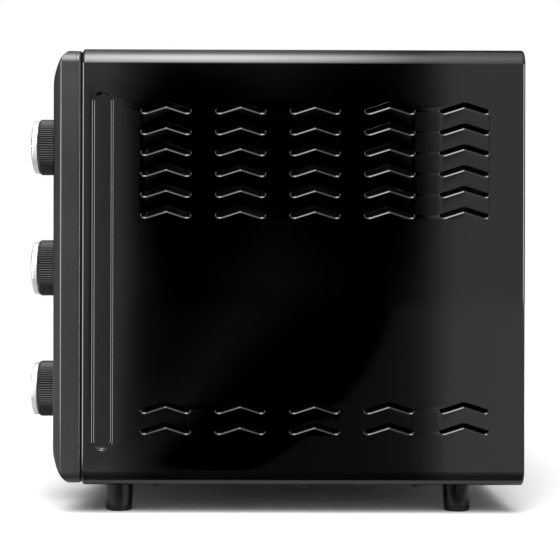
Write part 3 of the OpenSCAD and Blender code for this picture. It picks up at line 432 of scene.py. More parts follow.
CAMERA_AWAY = 1.0
CAMERA_BACK = 0.1279
CAMERA_HEIGHT = 0.1584
CAMERA_TURN = math.radians(89.73)
CAMERA_ROLL = math.radians(0.15)
CAMERA_LENS = 95.95
camera = held("camera", bpy.data.cameras.new("camera"))
camera.location = (HALF_W + CAMERA_AWAY, FRONT_Y + CAMERA_BACK, CAMERA_HEIGHT)
camera.rotation_euler = (Matrix.Rotation(CAMERA_TURN, 4, "Z") @ Matrix.Rotation(math.pi / 2, 4, "X")
                         @ Matrix.Rotation(CAMERA_ROLL, 4, "Z")).to_euler()
camera.data.lens = CAMERA_LENS
scene.camera = camera


# ---- studio ----

# A white dome for colour and shadow. For reflections a broad softbox high on the right-hand side, a dark gap
# under it, so that the flat side stays black between two soft ends, and two upright strips that light edges.
# Curves are (angle in degrees, or sideways share of the distance) against strength.
SOFTBOX = [(0, 0), (8.5, 0.04), (15.5, 4.5), (23.5, 9.9), (31.7, 12.5), (40, 15.4), (49, 16.6), (57.6, 16.3),
           (66.8, 13.3), (76.3, 9.0), (86.4, 4.7), (97.3, 2.4), (109.5, 1.25), (123, 0.9), (140, 0.4), (180, 0)]
SOFTBOX_SPREAD = [(-0.35, 0), (-0.2, 0.4), (-0.14, 0.68), (-0.09, 0.93), (-0.05, 1.0), (0.013, 0.8),
                  (0.067, 0.44), (0.107, 0.17), (0.134, 0.12), (0.35, 0)]
DARK_GAP = [(-0.3, 1), (-0.15, 0.98), (-0.124, 0.96), (-0.115, 0.9), (-0.104, 0.58), (-0.098, 0.36),
            (-0.089, 0.17), (-0.077, 0.05), (-0.06, 0), (0.07, 0), (0.08, 0.02), (0.094, 0.1), (0.104, 0.3),
            (0.114, 0.65), (0.125, 1), (0.3, 1)]
STRIPS = [(0, 0), (34, 0), (40, 3), (48, 13), (56, 15), (64, 11), (71, 4), (78, 0.8), (86, 0), (180, 0)]
BEHIND = [(0, 1), (95, 1), (110, 0.4), (125, 0.1), (180, 0.06)]
KEY_WAY = (math.cos(math.radians(57)), -0.07, math.sin(math.radians(57)))
KEY_LIGHT = 12.8
KEY_FOCUS = 16.0
FILL_LIGHT = 0.13
WALL_LIGHT = 0.94
GAP_LIGHT = 0.05
FAR_WALLS = 0.5
FLOOR_SHINE = 0.65
FLOOR_OPEN = 0.613
FLOOR_GAP = 0.036
WHITE = (1, 1, 1, 1)

world = bpy.data.worlds.new("studio")
world.use_nodes = True
scene.world = world
sky = world.node_tree
aim = node(sky, "ShaderNodeTexCoord", "Generated")
aim_x, aim_y, aim_z = parts_of(aim)
ray = add_node(sky, "ShaderNodeLightPath").outputs
upright = abs(aim_z)
aside = aim_y / length(aim_x, aim_z)
height = degrees(upright, aim_x)
softbox = read_off(SOFTBOX, height) * read_off(SOFTBOX_SPREAD, aside)
behind = mixed(ramp(abs(aside), 0.5, 1.5), read_off(BEHIND, height), FAR_WALLS)
walls = (read_off(DARK_GAP, aside) * WALL_LIGHT + GAP_LIGHT) * behind
strips = read_off(STRIPS, degrees(abs(aim_y), aim_x)) * soft_ramp(upright, 0.2, 0.16)
toward = node(sky, "ShaderNodeVectorMath", "Value", {0: aim, 1: KEY_WAY}, operation="DOT_PRODUCT")
dome = toward.to("MAXIMUM", 0.0).to("POWER", KEY_FOCUS) * KEY_LIGHT + FILL_LIGHT
seen = maths(sky, "MAXIMUM", ray["Is Camera Ray"], ray["Is Transmission Ray"])
glossy = Number(sky, ray["Is Glossy Ray"])
mixed(glossy, mixed(seen, dome, 1.0), walls + strips + softbox).into(sky.nodes["Background"].inputs["Strength"])
sky.nodes["Background"].inputs["Color"].default_value = WHITE


def floor_material():
    """Pale floor. In reflections it goes dark under the dark gap, as a black card laid beside the oven does."""
    material = bpy.data.materials.new("studio_floor")
    material.use_nodes = True
    tree = material.node_tree
    shader = tree.nodes["Principled BSDF"]
    x, y, _ = parts_of(node(tree, "ShaderNodeTexCoord", "Object"))
    ray = add_node(tree, "ShaderNodeLightPath").outputs
    glossy = Number(tree, ray["Is Glossy Ray"])
    ahead = x - HALF_W
    card = read_off(DARK_GAP, (y - camera.location.y) / (x - (HALF_W - CAMERA_AWAY)))
    beside = (card * FLOOR_OPEN + FLOOR_GAP) * ramp(ahead, 0.02, 0.14, 0.2)
    shine = mixed(x.to("GREATER_THAN", HALF_W), FLOOR_SHINE, beside)
    shade = mixed(Number(tree, ray["Is Camera Ray"]), mixed(glossy, 0.5, shine), 1.0)
    shade.into(shader.inputs["Base Color"])
    # The front corner's edges and groove find the two strips in the floor as well.
    across = abs(y - (FRONT_Y + 0.01))
    stray = abs(Number(tree, ray["Ray Length"]) - length(across, ahead))
    distant = soft_ramp(across.to("MAXIMUM", ahead), 0.2, 0.32)
    glow = read_off(STRIPS, degrees(across, ahead)) * distant * (glossy * soft_ramp(stray, 0.02, 0.013))
    glow.into(shader.inputs["Emission Strength"])
    shader.inputs["Emission Color"].default_value = WHITE
    shader.inputs["Roughness"].default_value = 1.0
    shader.inputs["Specular IOR Level"].default_value = 0.0
    return material


FLOOR_HALF = 9
ground = Skin()
corners = ((-1, -1), (1, -1), (1, 1), (-1, 1))
ground.faces.append(ground.lift([(x * FLOOR_HALF, y * FLOOR_HALF, 0) for x, y in corners]))
floor = held("floor", ground.mesh("floor"))
floor.data.materials.append(floor_material())


# ---- finishes ----

SIZED = [("Colour", "Color", (0.5, 0.5, 0.5, 1)), ("Shade", "Color", (0.4, 0.4, 0.4, 1)),
         ("Smooth", "Float", 0.3), ("Rough", "Float", 0.4), ("Grain", "Float", 1500.0), ("Cloud", "Float", 14.0),
         ("Run", "Vector", (1, 1, 1))]
GIVEN = [("Colour", "Color"), ("Roughness", "Float"), ("Height", "Float")]


def effect(name, pattern):
    """Shader group: the pattern gives its shares of the second colour and of the rougher gloss, and its relief."""
    group = bpy.data.node_groups.new(name, "ShaderNodeTree")
    for label, kind, value in SIZED:
        group.interface.new_socket(label, in_out="INPUT", socket_type="NodeSocket" + kind).default_value = value
    for label, kind in GIVEN:
        group.interface.new_socket(label, in_out="OUTPUT", socket_type="NodeSocket" + kind)
    entry = group.nodes.new("NodeGroupInput").outputs
    leave = group.nodes.new("NodeGroupOutput").inputs
    colour_share, rough_share, relief = pattern(group, entry, node(group, "ShaderNodeTexCoord", "Object"))
    node(group, "ShaderNodeMix", 2, {"Factor": colour_share, 6: entry["Colour"], 7: entry["Shade"]},
         data_type="RGBA").into(leave["Colour"])
    mixed(rough_share, entry["Smooth"], entry["Rough"]).into(leave["Roughness"])
    relief.into(leave["Height"])
    return group


def stretched(place, by):
    return node(place.tree, "ShaderNodeVectorMath", 0, {0: place, 1: by}, operation="MULTIPLY")


def clouds(group, entry, place):
    return node(group, "ShaderNodeTexNoise", "Fac", {"Vector": place, "Scale": entry["Cloud"], "Detail": 3.0})


def grain(group, entry, place):
    """Fine grain with slow, cloudy changes of colour and gloss; Run stretches the grain along an axis."""
    fine = node(group, "ShaderNodeTexNoise", "Fac", {"Vector": stretched(place, entry["Run"]),
                                                     "Scale": entry["Grain"], "Detail": 2.0, "Roughness": 0.6})
    cloud = clouds(group, entry, place)
    return soft_ramp(fine * 0.45 + cloud * 0.55, 0.36, 0.64), soft_ramp(cloud, 0.36, 0.66), fine


def spangle(group, entry, place):
    """Crystals of a zinc coat: flat cells of slightly different tone and gloss."""
    cell = node(group, "ShaderNodeTexVoronoi", "Color", {"Vector": stretched(place, entry["Run"]),
                                                         "Scale": entry["Grain"]})
    tone = add_node(group, "ShaderNodeSeparateColor", {0: cell}).outputs
    cloud = clouds(group, entry, place)
    return Number(group, tone[0]) * 0.5 + cloud * 0.5, Number(group, tone[1]), cloud


def braid(group, entry, place):
    """Woven glass sleeve: two sets of fine slanting strands."""
    strands = []
    for lean in ((1, 1, 1), (-1, 1, -1)):
        strand = {"Vector": stretched(place, lean), "Scale": entry["Grain"]}
        strands.append(node(group, "ShaderNodeTexWave", "Fac", strand, bands_direction="DIAGONAL"))
    weave = strands[0].to("MAXIMUM", strands[1])
    return weave, weave, weave


GRAIN = effect("surface_grain", grain)
SPANGLE = effect("zinc_spangle", spangle)
BRAID = effect("woven_sleeve", braid)


def tint(value):
    """Colour from a level of grey or from red, green and blue."""
    return (value, value, value, 1) if isinstance(value, float) else (*value, 1)


def surface(name, colour, shade, smooth, rough, grain=1500.0, cloud=14.0, run=(1, 1, 1), relief=0.05,
            metallic=0.0, look=GRAIN, depth=0.0002, **sockets):
    """Finished material: an effect gives its colour, gloss and relief, the rest is set on its shader."""
    material = bpy.data.materials.new(name)
    material.use_nodes = True
    tree = material.node_tree
    shader = tree.nodes["Principled BSDF"].inputs
    made = add_node(tree, "ShaderNodeGroup", {"Colour": tint(colour), "Shade": tint(shade), "Smooth": smooth,
                                              "Rough": rough, "Grain": grain, "Cloud": cloud, "Run": run},
                    node_tree=look).outputs
    tree.links.new(made["Colour"], shader["Base Color"])
    tree.links.new(made["Roughness"], shader["Roughness"])
    node(tree, "ShaderNodeBump", "Normal", {"Height": made["Height"], "Strength": relief,
                                            "Distance": depth}).into(shader["Normal"])
    for key, value in {"Metallic": metallic, **sockets}.items():
        shader[key.replace("_", " ")].default_value = value
    return material


enamel = surface("black_enamel", 0.0018, 0.0021, 0.05, 0.075, grain=700, relief=0.006)
# Near-black heat shield: painted shade, so that the vents look dark inside.
inner_enamel = surface("inner_enamel", 0.0012, 0.003, 0.3, 0.5, grain=900)
satin_black = surface("satin_bezel", 0.024, 0.027, 0.2, 0.26, grain=4200, relief=0.04)
knob_black = surface("satin_knob", 0.005, 0.007, 0.27, 0.34, grain=5000, relief=0.06, Specular_IOR_Level=0.3)
handle_finish = surface("satin_handle", 0.012, 0.015, 0.22, 0.3, grain=4200)
gloss_black = surface("gloss_panel", 0.004, 0.005, 0.07, 0.11, grain=900, relief=0.008)
# Near-black, dull finish of the bezel's skirt: painted shade for the dark of the narrow seam between bezel and casing.
# The skirt is part of the bezel moulding.
gap_shade_black = surface("shadow_seal", 0.0025, 0.0035, 0.75, 0.85, grain=2600, Specular_IOR_Level=0.2)
silver = surface("satin_silver", 0.9, 0.86, 0.3, 0.4, grain=2600, relief=0.03, metallic=0.45)
brushed = surface("brushed_trim", 0.84, 0.76, 0.24, 0.36, grain=9000, run=(0.02, 1, 1), relief=0.06, metallic=1.0)
galvanised = surface("galvanised_sheet", (0.58, 0.6, 0.61), (0.52, 0.53, 0.54), 0.34, 0.44, grain=260, cloud=40,
                     relief=0.012, metallic=1.0, look=SPANGLE)
chamber_sheet = surface("chamber_sheet", (0.62, 0.62, 0.6), (0.5, 0.48, 0.44), 0.3, 0.45, grain=2600, cloud=9,
                        run=(1, 0.04, 1), metallic=1.0)
zinc = surface("bright_zinc", (0.62, 0.62, 0.63), (0.5, 0.51, 0.53), 0.26, 0.4, grain=3000, metallic=1.0)
black_zinc = surface("blackened_zinc", 0.006, 0.012, 0.34, 0.46, grain=3000, relief=0.06)
sheath = surface("heater_sheath", (0.16, 0.145, 0.13), (0.09, 0.082, 0.078), 0.42, 0.6, grain=2400, cloud=45,
                 relief=0.12, metallic=0.7)
ceramic = surface("pressed_ceramic", (0.84, 0.82, 0.76), (0.76, 0.73, 0.66), 0.45, 0.6, grain=2600, relief=0.15)
phenolic = surface("moulded_switch", (0.72, 0.68, 0.58), (0.64, 0.6, 0.5), 0.35, 0.5, grain=2400, relief=0.08)
copper = surface("capillary_copper", (0.72, 0.4, 0.24), (0.5, 0.26, 0.16), 0.25, 0.4, grain=1800, cloud=60,
                 relief=0.04, metallic=1.0)
sleeve = surface("woven_lead", (0.62, 0.6, 0.54), (0.82, 0.8, 0.74), 0.6, 0.8, grain=420, relief=0.5, look=BRAID,
                 depth=0.0003)
rubber = surface("foot_rubber", 0.001, 0.0018, 0.2, 0.3, grain=2600, Specular_IOR_Level=0.4)
chrome = surface("chromed_wire", (0.78, 0.78, 0.79), (0.68, 0.68, 0.69), 0.12, 0.22, grain=1600, relief=0.02,
                 metallic=1.0)
print_white = surface("dial_print", 0.68, 0.6, 0.45, 0.6, grain=6000, relief=0.1)
print_black = surface("pointer_print", 0.01, 0.014, 0.4, 0.5, grain=6000, relief=0.1)
red_lens = surface("lamp_lens", (0.62, 0.018, 0.01), (0.5, 0.012, 0.008), 0.12, 0.2, grain=1400,
                   Transmission_Weight=0.45)
glass = surface("tinted_glass", (0.5, 0.52, 0.53), (0.47, 0.49, 0.5), 0.0, 0.03, grain=300, cloud=30, relief=0.002,
                Transmission_Weight=1.0, IOR=1.5)


# ---- casing ----

BEND = 10.9
ROLL = 2.0
SHEET = 0.8
END_LAP = 0.6
REAR_FLANGE = 9.0
BOTTOM_FLANGE = 7.0
VENT_COLUMNS = [56 + 50 * i for i in range(5)]
VENT_ROWS = [TOP_Z / MM - 37.7 - 14 * i for i in range(6)] + [BOTTOM_Z / MM + 41.7 + 14 * i for i in range(2)]
VENT_HALF_SPAN = 16.2
VENT_RISE = 5.2
VENT_W = 2.4
VENT_BEND = 4.0
VENT_LIP = 1.7
VENT_END = 14.0
VENT_SWEEP = 4.0
VENT_TIP = 0.8
UPPER_LIP = 0.25
GROOVE_W = 14.6
GROOVE_LEN = 241.0
GROOVE_DEPTH = 1.6
GROOVE_WALL = 2.0
GROOVE_Y = 13.6
GROOVE_Z = BOTTOM_Z / MM + 144.2
GROOVE_INSIDE = 0.5
GROOVE_STEPS = 8
ROLL_STEPS = 8
LIP_STEPS = 4
CORNER_STEPS = 14


def chevron(y, z, grow):
    """Outline of a vent, its middle at (y, z), widened by grow below and less above; its arms sweep up to a tip."""
    slope = math.atan2(VENT_RISE, VENT_HALF_SPAN)
    lean = math.degrees(slope)
    half = VENT_W / 2
    reach = VENT_SWEEP - VENT_TIP
    sweep_z = (VENT_SWEEP - half - VENT_END * math.sin(slope)) / math.cos(slope)
    meet = math.degrees(math.asin((VENT_W - VENT_TIP - VENT_SWEEP) / reach)) - lean
    tip_y = VENT_END + reach * math.cos(math.radians(meet))
    tip_z = sweep_z + reach * math.sin(math.radians(meet))
    bend_z = -VENT_BEND / math.cos(slope)
    top = grow * UPPER_LIP
    arm = arc(VENT_END, sweep_z, VENT_SWEEP + grow, -90 - lean, meet, 6)
    for k in range(1, 6):
        radius = VENT_TIP + grow + (top - grow) * k / 5
        turn = math.radians(meet + (90 - lean - meet) * k / 5)
        arm.append((tip_y + radius * math.cos(turn), tip_z + radius * math.sin(turn)))
    points = arm + arc(0, bend_z, VENT_BEND + half + top, 90 - lean, 90 + lean, 4)
    points += [(-p[0], p[1]) for p in arm[::-1]]
    points += arc(0, bend_z, VENT_BEND - half - grow, 90 + lean, 90 - lean, 4)
    return [(y + p[0], z + p[1]) for p in points]


def groove(grow):
    """Outline of the upright groove, widened all round by grow."""
    half = GROOVE_W / 2 + grow
    run = (GROOVE_LEN - GROOVE_W) / 2
    return arc(GROOVE_Y, GROOVE_Z + run, half, 0, 180, 24) + arc(GROOVE_Y, GROOVE_Z - run, half, 180, 360, 24)


def casing_outline(inset):
    """The casing seen from the front, from one bottom flange round to the other, set in by inset."""
    x = HALF_W / MM - inset
    low = BOTTOM_Z / MM + inset
    end = HALF_W / MM - BEND - BOTTOM_FLANGE
    loop = rounded(-x, x, low, TOP_Z / MM - inset, max(BEND - inset, 0.6), CORNER_STEPS)[::-1]
    return [(-end, low)] + loop[CORNER_STEPS + 1:] + loop[:CORNER_STEPS + 1] + [(end, low)]


def casing_section():
    """Closed section across the sheet as (inset, depth) pairs: outer face from front to rear, inner face back."""
    rear = (REAR_Y - FRONT_Y) / MM + END_LAP
    sides = []
    for radius, sunk in ((ROLL, 0.0), (ROLL - SHEET, SHEET)):
        roll = [(ROLL - radius * math.sin(t), ROLL - radius * math.cos(t)) for t in quarter(ROLL_STEPS)]
        front = [(inset, depth - END_LAP) for inset, depth in roll]
        back = [(inset, rear - depth) for inset, depth in roll[::-1]]
        sides.append(front + back + [(ROLL + REAR_FLANGE, rear - sunk)])
    return sides[0] + sides[1][::-1]


def casing_mesh():
    section = casing_section()
    skin = Skin()
    rows = [skin.lift(casing_outline(inset), lambda p, d=depth: (p[0] * MM, FRONT_Y + d * MM, p[1] * MM))
            for inset, depth in section]
    # The two side walls are left open here, on the section's long straight runs; they are laid in below.
    runs = (ROLL_STEPS, len(section) - ROLL_STEPS - 2)
    walls = (CORNER_STEPS + 1, 3 * CORNER_STEPS + 3)
    for j, (a, b) in enumerate(zip(rows, rows[1:] + rows[:1])):
        skin.faces += [(a[i], b[i], b[i + 1], a[i + 1]) for i in range(len(a) - 1)
                       if j not in runs or i not in walls]
    skin.faces.append([row[0] for row in rows[::-1]])
    skin.faces.append([row[-1] for row in rows])
    near = ROLL - END_LAP
    far = (REAR_Y - FRONT_Y) / MM - near
    low = BOTTOM_Z / MM + BEND
    high = TOP_Z / MM - BEND
    boundary = [(near, low), (far, low), (far, high), (near, high)]
    vents = [(y, z) for y in VENT_COLUMNS for z in VENT_ROWS]
    lip = [(VENT_LIP * (1 - math.sin(t)), VENT_LIP * (1 - math.cos(t))) for t in quarter(LIP_STEPS)]
    back = VENT_LIP - SHEET
    lip += [(VENT_LIP - back * math.sin(t), VENT_LIP - back * math.cos(t)) for t in quarter(LIP_STEPS)[::-1]]
    shares = [i / GROOVE_STEPS for i in range(GROOVE_STEPS + 1)]
    for side in (-1, 1):
        def at(sunk):
            return lambda p: (side * HALF_W - side * sunk * MM, FRONT_Y + p[0] * MM, p[1] * MM)

        for sunk, start in ((0.0, 0.0), (SHEET, GROOVE_INSIDE)):
            skin.sheet(boundary, [chevron(y, z, VENT_LIP) for y, z in vents] + [groove(start)], at(sunk))
            loops = []
            for share in shares:
                depth = sunk + GROOVE_DEPTH * (1 - math.cos(math.pi * share)) / 2
                loops.append(skin.lift(groove(start - GROOVE_WALL * share), at(depth)))
            skin.bridge(loops)
            skin.faces.append(loops[-1])
        for y, z in vents:
            skin.bridge([skin.lift(chevron(y, z, grow), at(sunk)) for grow, sunk in lip])
    return tidied(skin.mesh("casing"))


fitted("casing_shell", casing_mesh(), enamel, "oven_body", "black_enamel", "casing")


# ---- bezel ----

bezel = box("front_bezel")
BEZEL_HALF_W = bezel.high.x / MM
BEZEL_Z0 = bezel.low.z / MM
BEZEL_Z1 = bezel.high.z / MM
BEZEL_FRONT = (bezel.low.y - FRONT_Y) / MM
BEZEL_SKIRT = (bezel.high.y - FRONT_Y) / MM
BEZEL_BACK = -1.2
CORNER_R = 8.1
ROUND_R = 34.0
ROUND_H = 24.0
CHAMFER_X = 5.0
CHAMFER_Y = 5.6
CREASE = 0.5
CREASE_SOFT = 0.35
EDGE_STEPS = 6
EDGE_SLOPE = 0.95
RIM_BEVEL = 0.6
SIDE_EDGE = 0.8
TOP_EDGE = 1.0
LEDGE = 2.5
PANEL_SUNK = 3.5
# Rear edge of the outline as (depth from the seam, inset), with the shallow line pressed round it.
BEZEL_REAR = ((-4.7, 0.0), (-4.55, 0.02), (-4.35, 0.1), (-4.2, 0.12), (-2.6, 0.12), (-2.2, 0.17), (-1.85, 0.34),
              (-1.55, 0.6), (-1.32, 0.92), (BEZEL_BACK, 1.25))


def hole_round(part, clear):
    """Rectangle round a piece seen from the front, with a clearance: (left, right, bottom, top)."""
    low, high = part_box(part)
    return low.x / MM - clear, high.x / MM + clear, low.z / MM - clear, high.z / MM + clear


DOOR_HOLE = hole_round("door_frame", 1.0)
TRAY_HOLE = hole_round("crumb_tray", 1.0)[:2] + (BEZEL_Z0 + 14.6, BEZEL_Z0 + 26.6)
left, right, bottom, top = hole_round("control_panel", 0.2)
PANEL_HOLE = (left, min(right, BEZEL_HALF_W - CORNER_R), bottom, top)
LEDGE_HOLE = (left + LEDGE, PANEL_HOLE[1] - LEDGE, bottom + LEDGE, top - LEDGE)
HOLES = (DOOR_HOLE, TRAY_HOLE, PANEL_HOLE)


def within(hole, x, z, slack=0.0):
    return hole[0] - slack < x < hole[1] + slack and hole[2] - slack < z < hole[3] + slack


def front_depth(x, z):
    """How far the bezel's front lies behind its foremost plane."""
    t = max(z - (BEZEL_Z1 - ROUND_H), (BEZEL_Z0 + ROUND_H) - z, 0)
    curve = ROUND_R - math.sqrt(ROUND_R ** 2 - t * t)
    run = abs(x) - (BEZEL_HALF_W - CHAMFER_X)
    chamfer = CHAMFER_Y / CHAMFER_X * max(run, 0)
    if abs(run) < CREASE:
        chamfer = CHAMFER_Y / CHAMFER_X * (run + CREASE) ** 2 / (4 * CREASE)
    soft = CREASE_SOFT * min(chamfer / 0.5, 1)
    return (curve + chamfer + math.sqrt((curve - chamfer) ** 2 + soft * soft)) / 2


def corner_arm(turn):
    """Radius of the front's edge on the bezel's corner, from the side (0 degrees) to the top (90)."""
    share = min(turn / 80, 1)
    return CORNER_R - (SIDE_EDGE + (TOP_EDGE - SIDE_EDGE) * share * share * (3 - 2 * share))


def corner_x(turn):
    return BEZEL_HALF_W - CORNER_R + corner_arm(turn) * math.cos(math.radians(turn))


def bezel_turns():
    """Angles round the corner, with one at each crease level."""
    turns = [90 * i / CORNER_STEPS for i in range(CORNER_STEPS + 1)]
    for target in [BEZEL_HALF_W - CHAMFER_X + k * CREASE for k in (-1, 0, 1)]:
        low, high = 0.0, 90.0
        for _ in range(40):
            turn = (low + high) / 2
            low, high = (turn, high) if corner_x(turn) > target else (low, turn)
        turns = [t for t in turns if abs(t - turn) > 2 or t in (0, 90)] + [turn]
    return sorted(turns)


def bezel_mesh():
    """The front is laid out in cells between lines that follow the holes, the creases and the round corners."""
    turns = bezel_turns()
    n = len(turns)
    xc = BEZEL_HALF_W - CORNER_R
    mid_z = (BEZEL_Z0 + BEZEL_Z1) / 2
    zc = BEZEL_Z1 - CORNER_R - mid_z
    edge_x = [corner_x(t) for t in turns]
    edge_z = [mid_z + zc + corner_arm(t) * math.sin(math.radians(t)) for t in turns]
    inner_x = [x for hole in HOLES for x in hole[:2] if abs(x) < xc - 0.01]
    xs = [-x for x in edge_x] + sorted(inner_x + list(LEDGE_HOLE[:2])) + edge_x[::-1]
    rises = [BEZEL_Z1 - ROUND_H + t for t in (0, 3, 6, 9, 12, 14.5)]
    inner_z = rises + [2 * mid_z - z for z in rises]
    for hole in HOLES:
        inner_z += [z for z in hole[2:] if min(abs(z - r) for r in inner_z) > 0.05]
    zs = [2 * mid_z - z for z in edge_z[::-1]] + sorted(inner_z + list(LEDGE_HOLE[2:])) + edge_z
    columns = len(xs)
    rows = len(zs)

    def cut(i, j):
        """0 outside the outline, 1 a whole cell, else the cell's missing corner."""
        right = i >= columns - n
        top = j >= rows - n
        if not ((right or i < n - 1) and (top or j < n - 1)):
            return 1
        depth = (columns - 2 - i if right else i) + (rows - 2 - j if top else j)
        if depth < n - 2:
            return 0
        return 1 if depth > n - 2 else (i + right, j + top)

    skin = Skin()
    seen = {}

    def point(layer, i, j):
        if (layer, i, j) not in seen:
            y = {"front": BEZEL_FRONT + front_depth(xs[i], zs[j]), "floor": BEZEL_FRONT + PANEL_SUNK,
                 "back": BEZEL_BACK}[layer]
            seen[layer, i, j] = skin.lift([(xs[i], y, zs[j])])[0]
        return seen[layer, i, j]

    cells = {}
    for i in range(columns - 1):
        for j in range(rows - 1):
            kind = cut(i, j)
            x = (xs[i] + xs[i + 1]) / 2
            z = (zs[j] + zs[j + 1]) / 2
            if kind == 0 or within(DOOR_HOLE, x, z) or within(TRAY_HOLE, x, z):
                continue
            layers = ["front", "back"]
            if within(LEDGE_HOLE, x, z):
                layers = []
            elif within(PANEL_HOLE, x, z):
                layers = ["floor", "back"]
            cells[i, j] = (kind, layers)
            corners = [c for c in ((i, j), (i + 1, j), (i + 1, j + 1), (i, j + 1)) if c != kind]
            for layer in layers:
                face = [point(layer, *c) for c in corners]
                skin.faces.append(face[::-1] if layer == "back" else face)
    # Walls stand where neighbouring cells lie on different layers.
    for i in range(columns - 1):
        for j in range(rows - 1):
            for di, dj, a, b in ((1, 0, (i + 1, j), (i + 1, j + 1)), (0, 1, (i + 1, j + 1), (i, j + 1))):
                here = cells.get((i, j), (0, []))
                there = cells.get((i + di, j + dj), (0, []))
                if a in (here[0], there[0]) or here[1] == there[1] or cut(i, j) == 0:
                    continue
                if i + di > columns - 2 or j + dj > rows - 2 or cut(i + di, j + dj) == 0:
                    continue
                layers = ("front", "floor", "back")
                upper, lower = [name for name in layers if (name in here[1]) != (name in there[1])]
                skin.faces.append([point(upper, *a), point(upper, *b), point(lower, *b), point(lower, *a)])
    # The outline runs anticlockwise from the middle of the right side.
    loop = [(columns - 1, j) for j in range(n - 1, rows - n + 1)]
    loop += [(columns - 1 - k, rows - n + k) for k in range(1, n)]
    loop += [(i, rows - 1) for i in range(columns - n - 1, n - 1, -1)]
    loop += [(n - 1 - k, rows - 1 - k) for k in range(n)]
    loop += [(0, j) for j in range(rows - n - 1, n - 1, -1)]
    loop += [(k, n - 1 - k) for k in range(n)]
    loop += [(i, 0) for i in range(n, columns - n)]
    loop += [(columns - n + k, k) for k in range(n - 1)]
    loop = list(dict.fromkeys(loop))
    outline = []
    for i, j in loop:
        x, z = xs[i], zs[j] - mid_z
        corner = Vector((min(max(x, -xc), xc), min(max(z, -zc), zc)))
        if abs(x) >= xc and abs(z) >= zc:
            way = (Vector((x, z)) - corner).normalized()
        elif abs(x) > xc:
            way = Vector((math.copysign(1, x), 0))
        else:
            way = Vector((0, math.copysign(1, z)))
        edge = corner + way * CORNER_R
        outline.append((edge.x, edge.y + mid_z, way))
    rings = [[point("front", *c) for c in loop]]
    starts = [skin.points[k] for k in rings[0]]
    for step in range(1, EDGE_STEPS + 1):
        t = step / EDGE_STEPS
        share = 1 - (1 - t) ** 2
        made = []
        for (x, z, way), (sx, sy, sz) in zip(outline, starts):
            near = BEZEL_FRONT + front_depth(x, z)
            far = near + math.hypot(x - sx, z - sz) * EDGE_SLOPE
            made.append(((1 - t) ** 2 * sx + share * x, (1 - t) ** 2 * sy + 2 * t * (1 - t) * near + t * t * far,
                         (1 - t) ** 2 * sz + share * z))
        rings.append(skin.lift(made))
    for y, inset in BEZEL_REAR:
        rings.append(skin.lift([(x - inset * way.x, y, z - inset * way.y) for x, z, way in outline]))
    skin.bridge(rings + [[point("back", *c) for c in loop]])
    skin.points = [(x * MM, FRONT_Y + y * MM, z * MM) for x, y, z in skin.points]
    return skin.mesh("bezel")


def eased_bezel(mesh):
    """Rounds the rims of the bezel's holes."""
    work = bmesh.new()
    work.from_mesh(mesh)
    bmesh.ops.remove_doubles(work, verts=work.verts, dist=MERGE)
    bmesh.ops.recalc_face_normals(work, faces=work.faces)
    rims = []
    for edge in work.edges:
        x, y, z = (edge.verts[0].co + edge.verts[1].co) / 2 / MM
        depth = y - FRONT_Y / MM - BEZEL_FRONT
        if depth <= front_depth(x, z) + 0.2 and edge.calc_face_angle(0) >= 1.0:
            if any(within(hole, x, z, 0.02) for hole in HOLES):
                rims.append(edge)
    bmesh.ops.bevel(work, geom=rims, offset=RIM_BEVEL * MM, segments=3, profile=0.5, affect="EDGES",
                    clamp_overlap=True)
    work.to_mesh(mesh)
    work.free()
    return mesh


SKIRT_INSET = 3.3
SKIRT_T = 2.0


def skirt_mesh():
    loops = []
    start = BEZEL_BACK - 0.05
    for inset, y in ((SKIRT_INSET, start), (SKIRT_INSET, BEZEL_SKIRT - 0.5), (SKIRT_INSET + 0.5, BEZEL_SKIRT),
                     (SKIRT_INSET + SKIRT_T, BEZEL_SKIRT), (SKIRT_INSET + SKIRT_T, start)):
        x = HALF_W / MM - inset
        loop = rounded(-x, x, BOTTOM_Z / MM + inset, TOP_Z / MM - inset, BEND - inset + 0.5)
        loops.append([(x * MM, FRONT_Y + y * MM, z * MM) for x, z in loop])
    return tube_of(loops)


fitted("bezel_moulding", eased_bezel(bezel_mesh()), satin_black, "oven_body", "bezel_plastic", "front_bezel")
# The skirt's near-black finish is painted shade in the seam gap.
fitted("bezel_skirt", skirt_mesh(), gap_shade_black, "oven_body", "bezel_plastic", "front_bezel")


# ---- geometry node trees ----

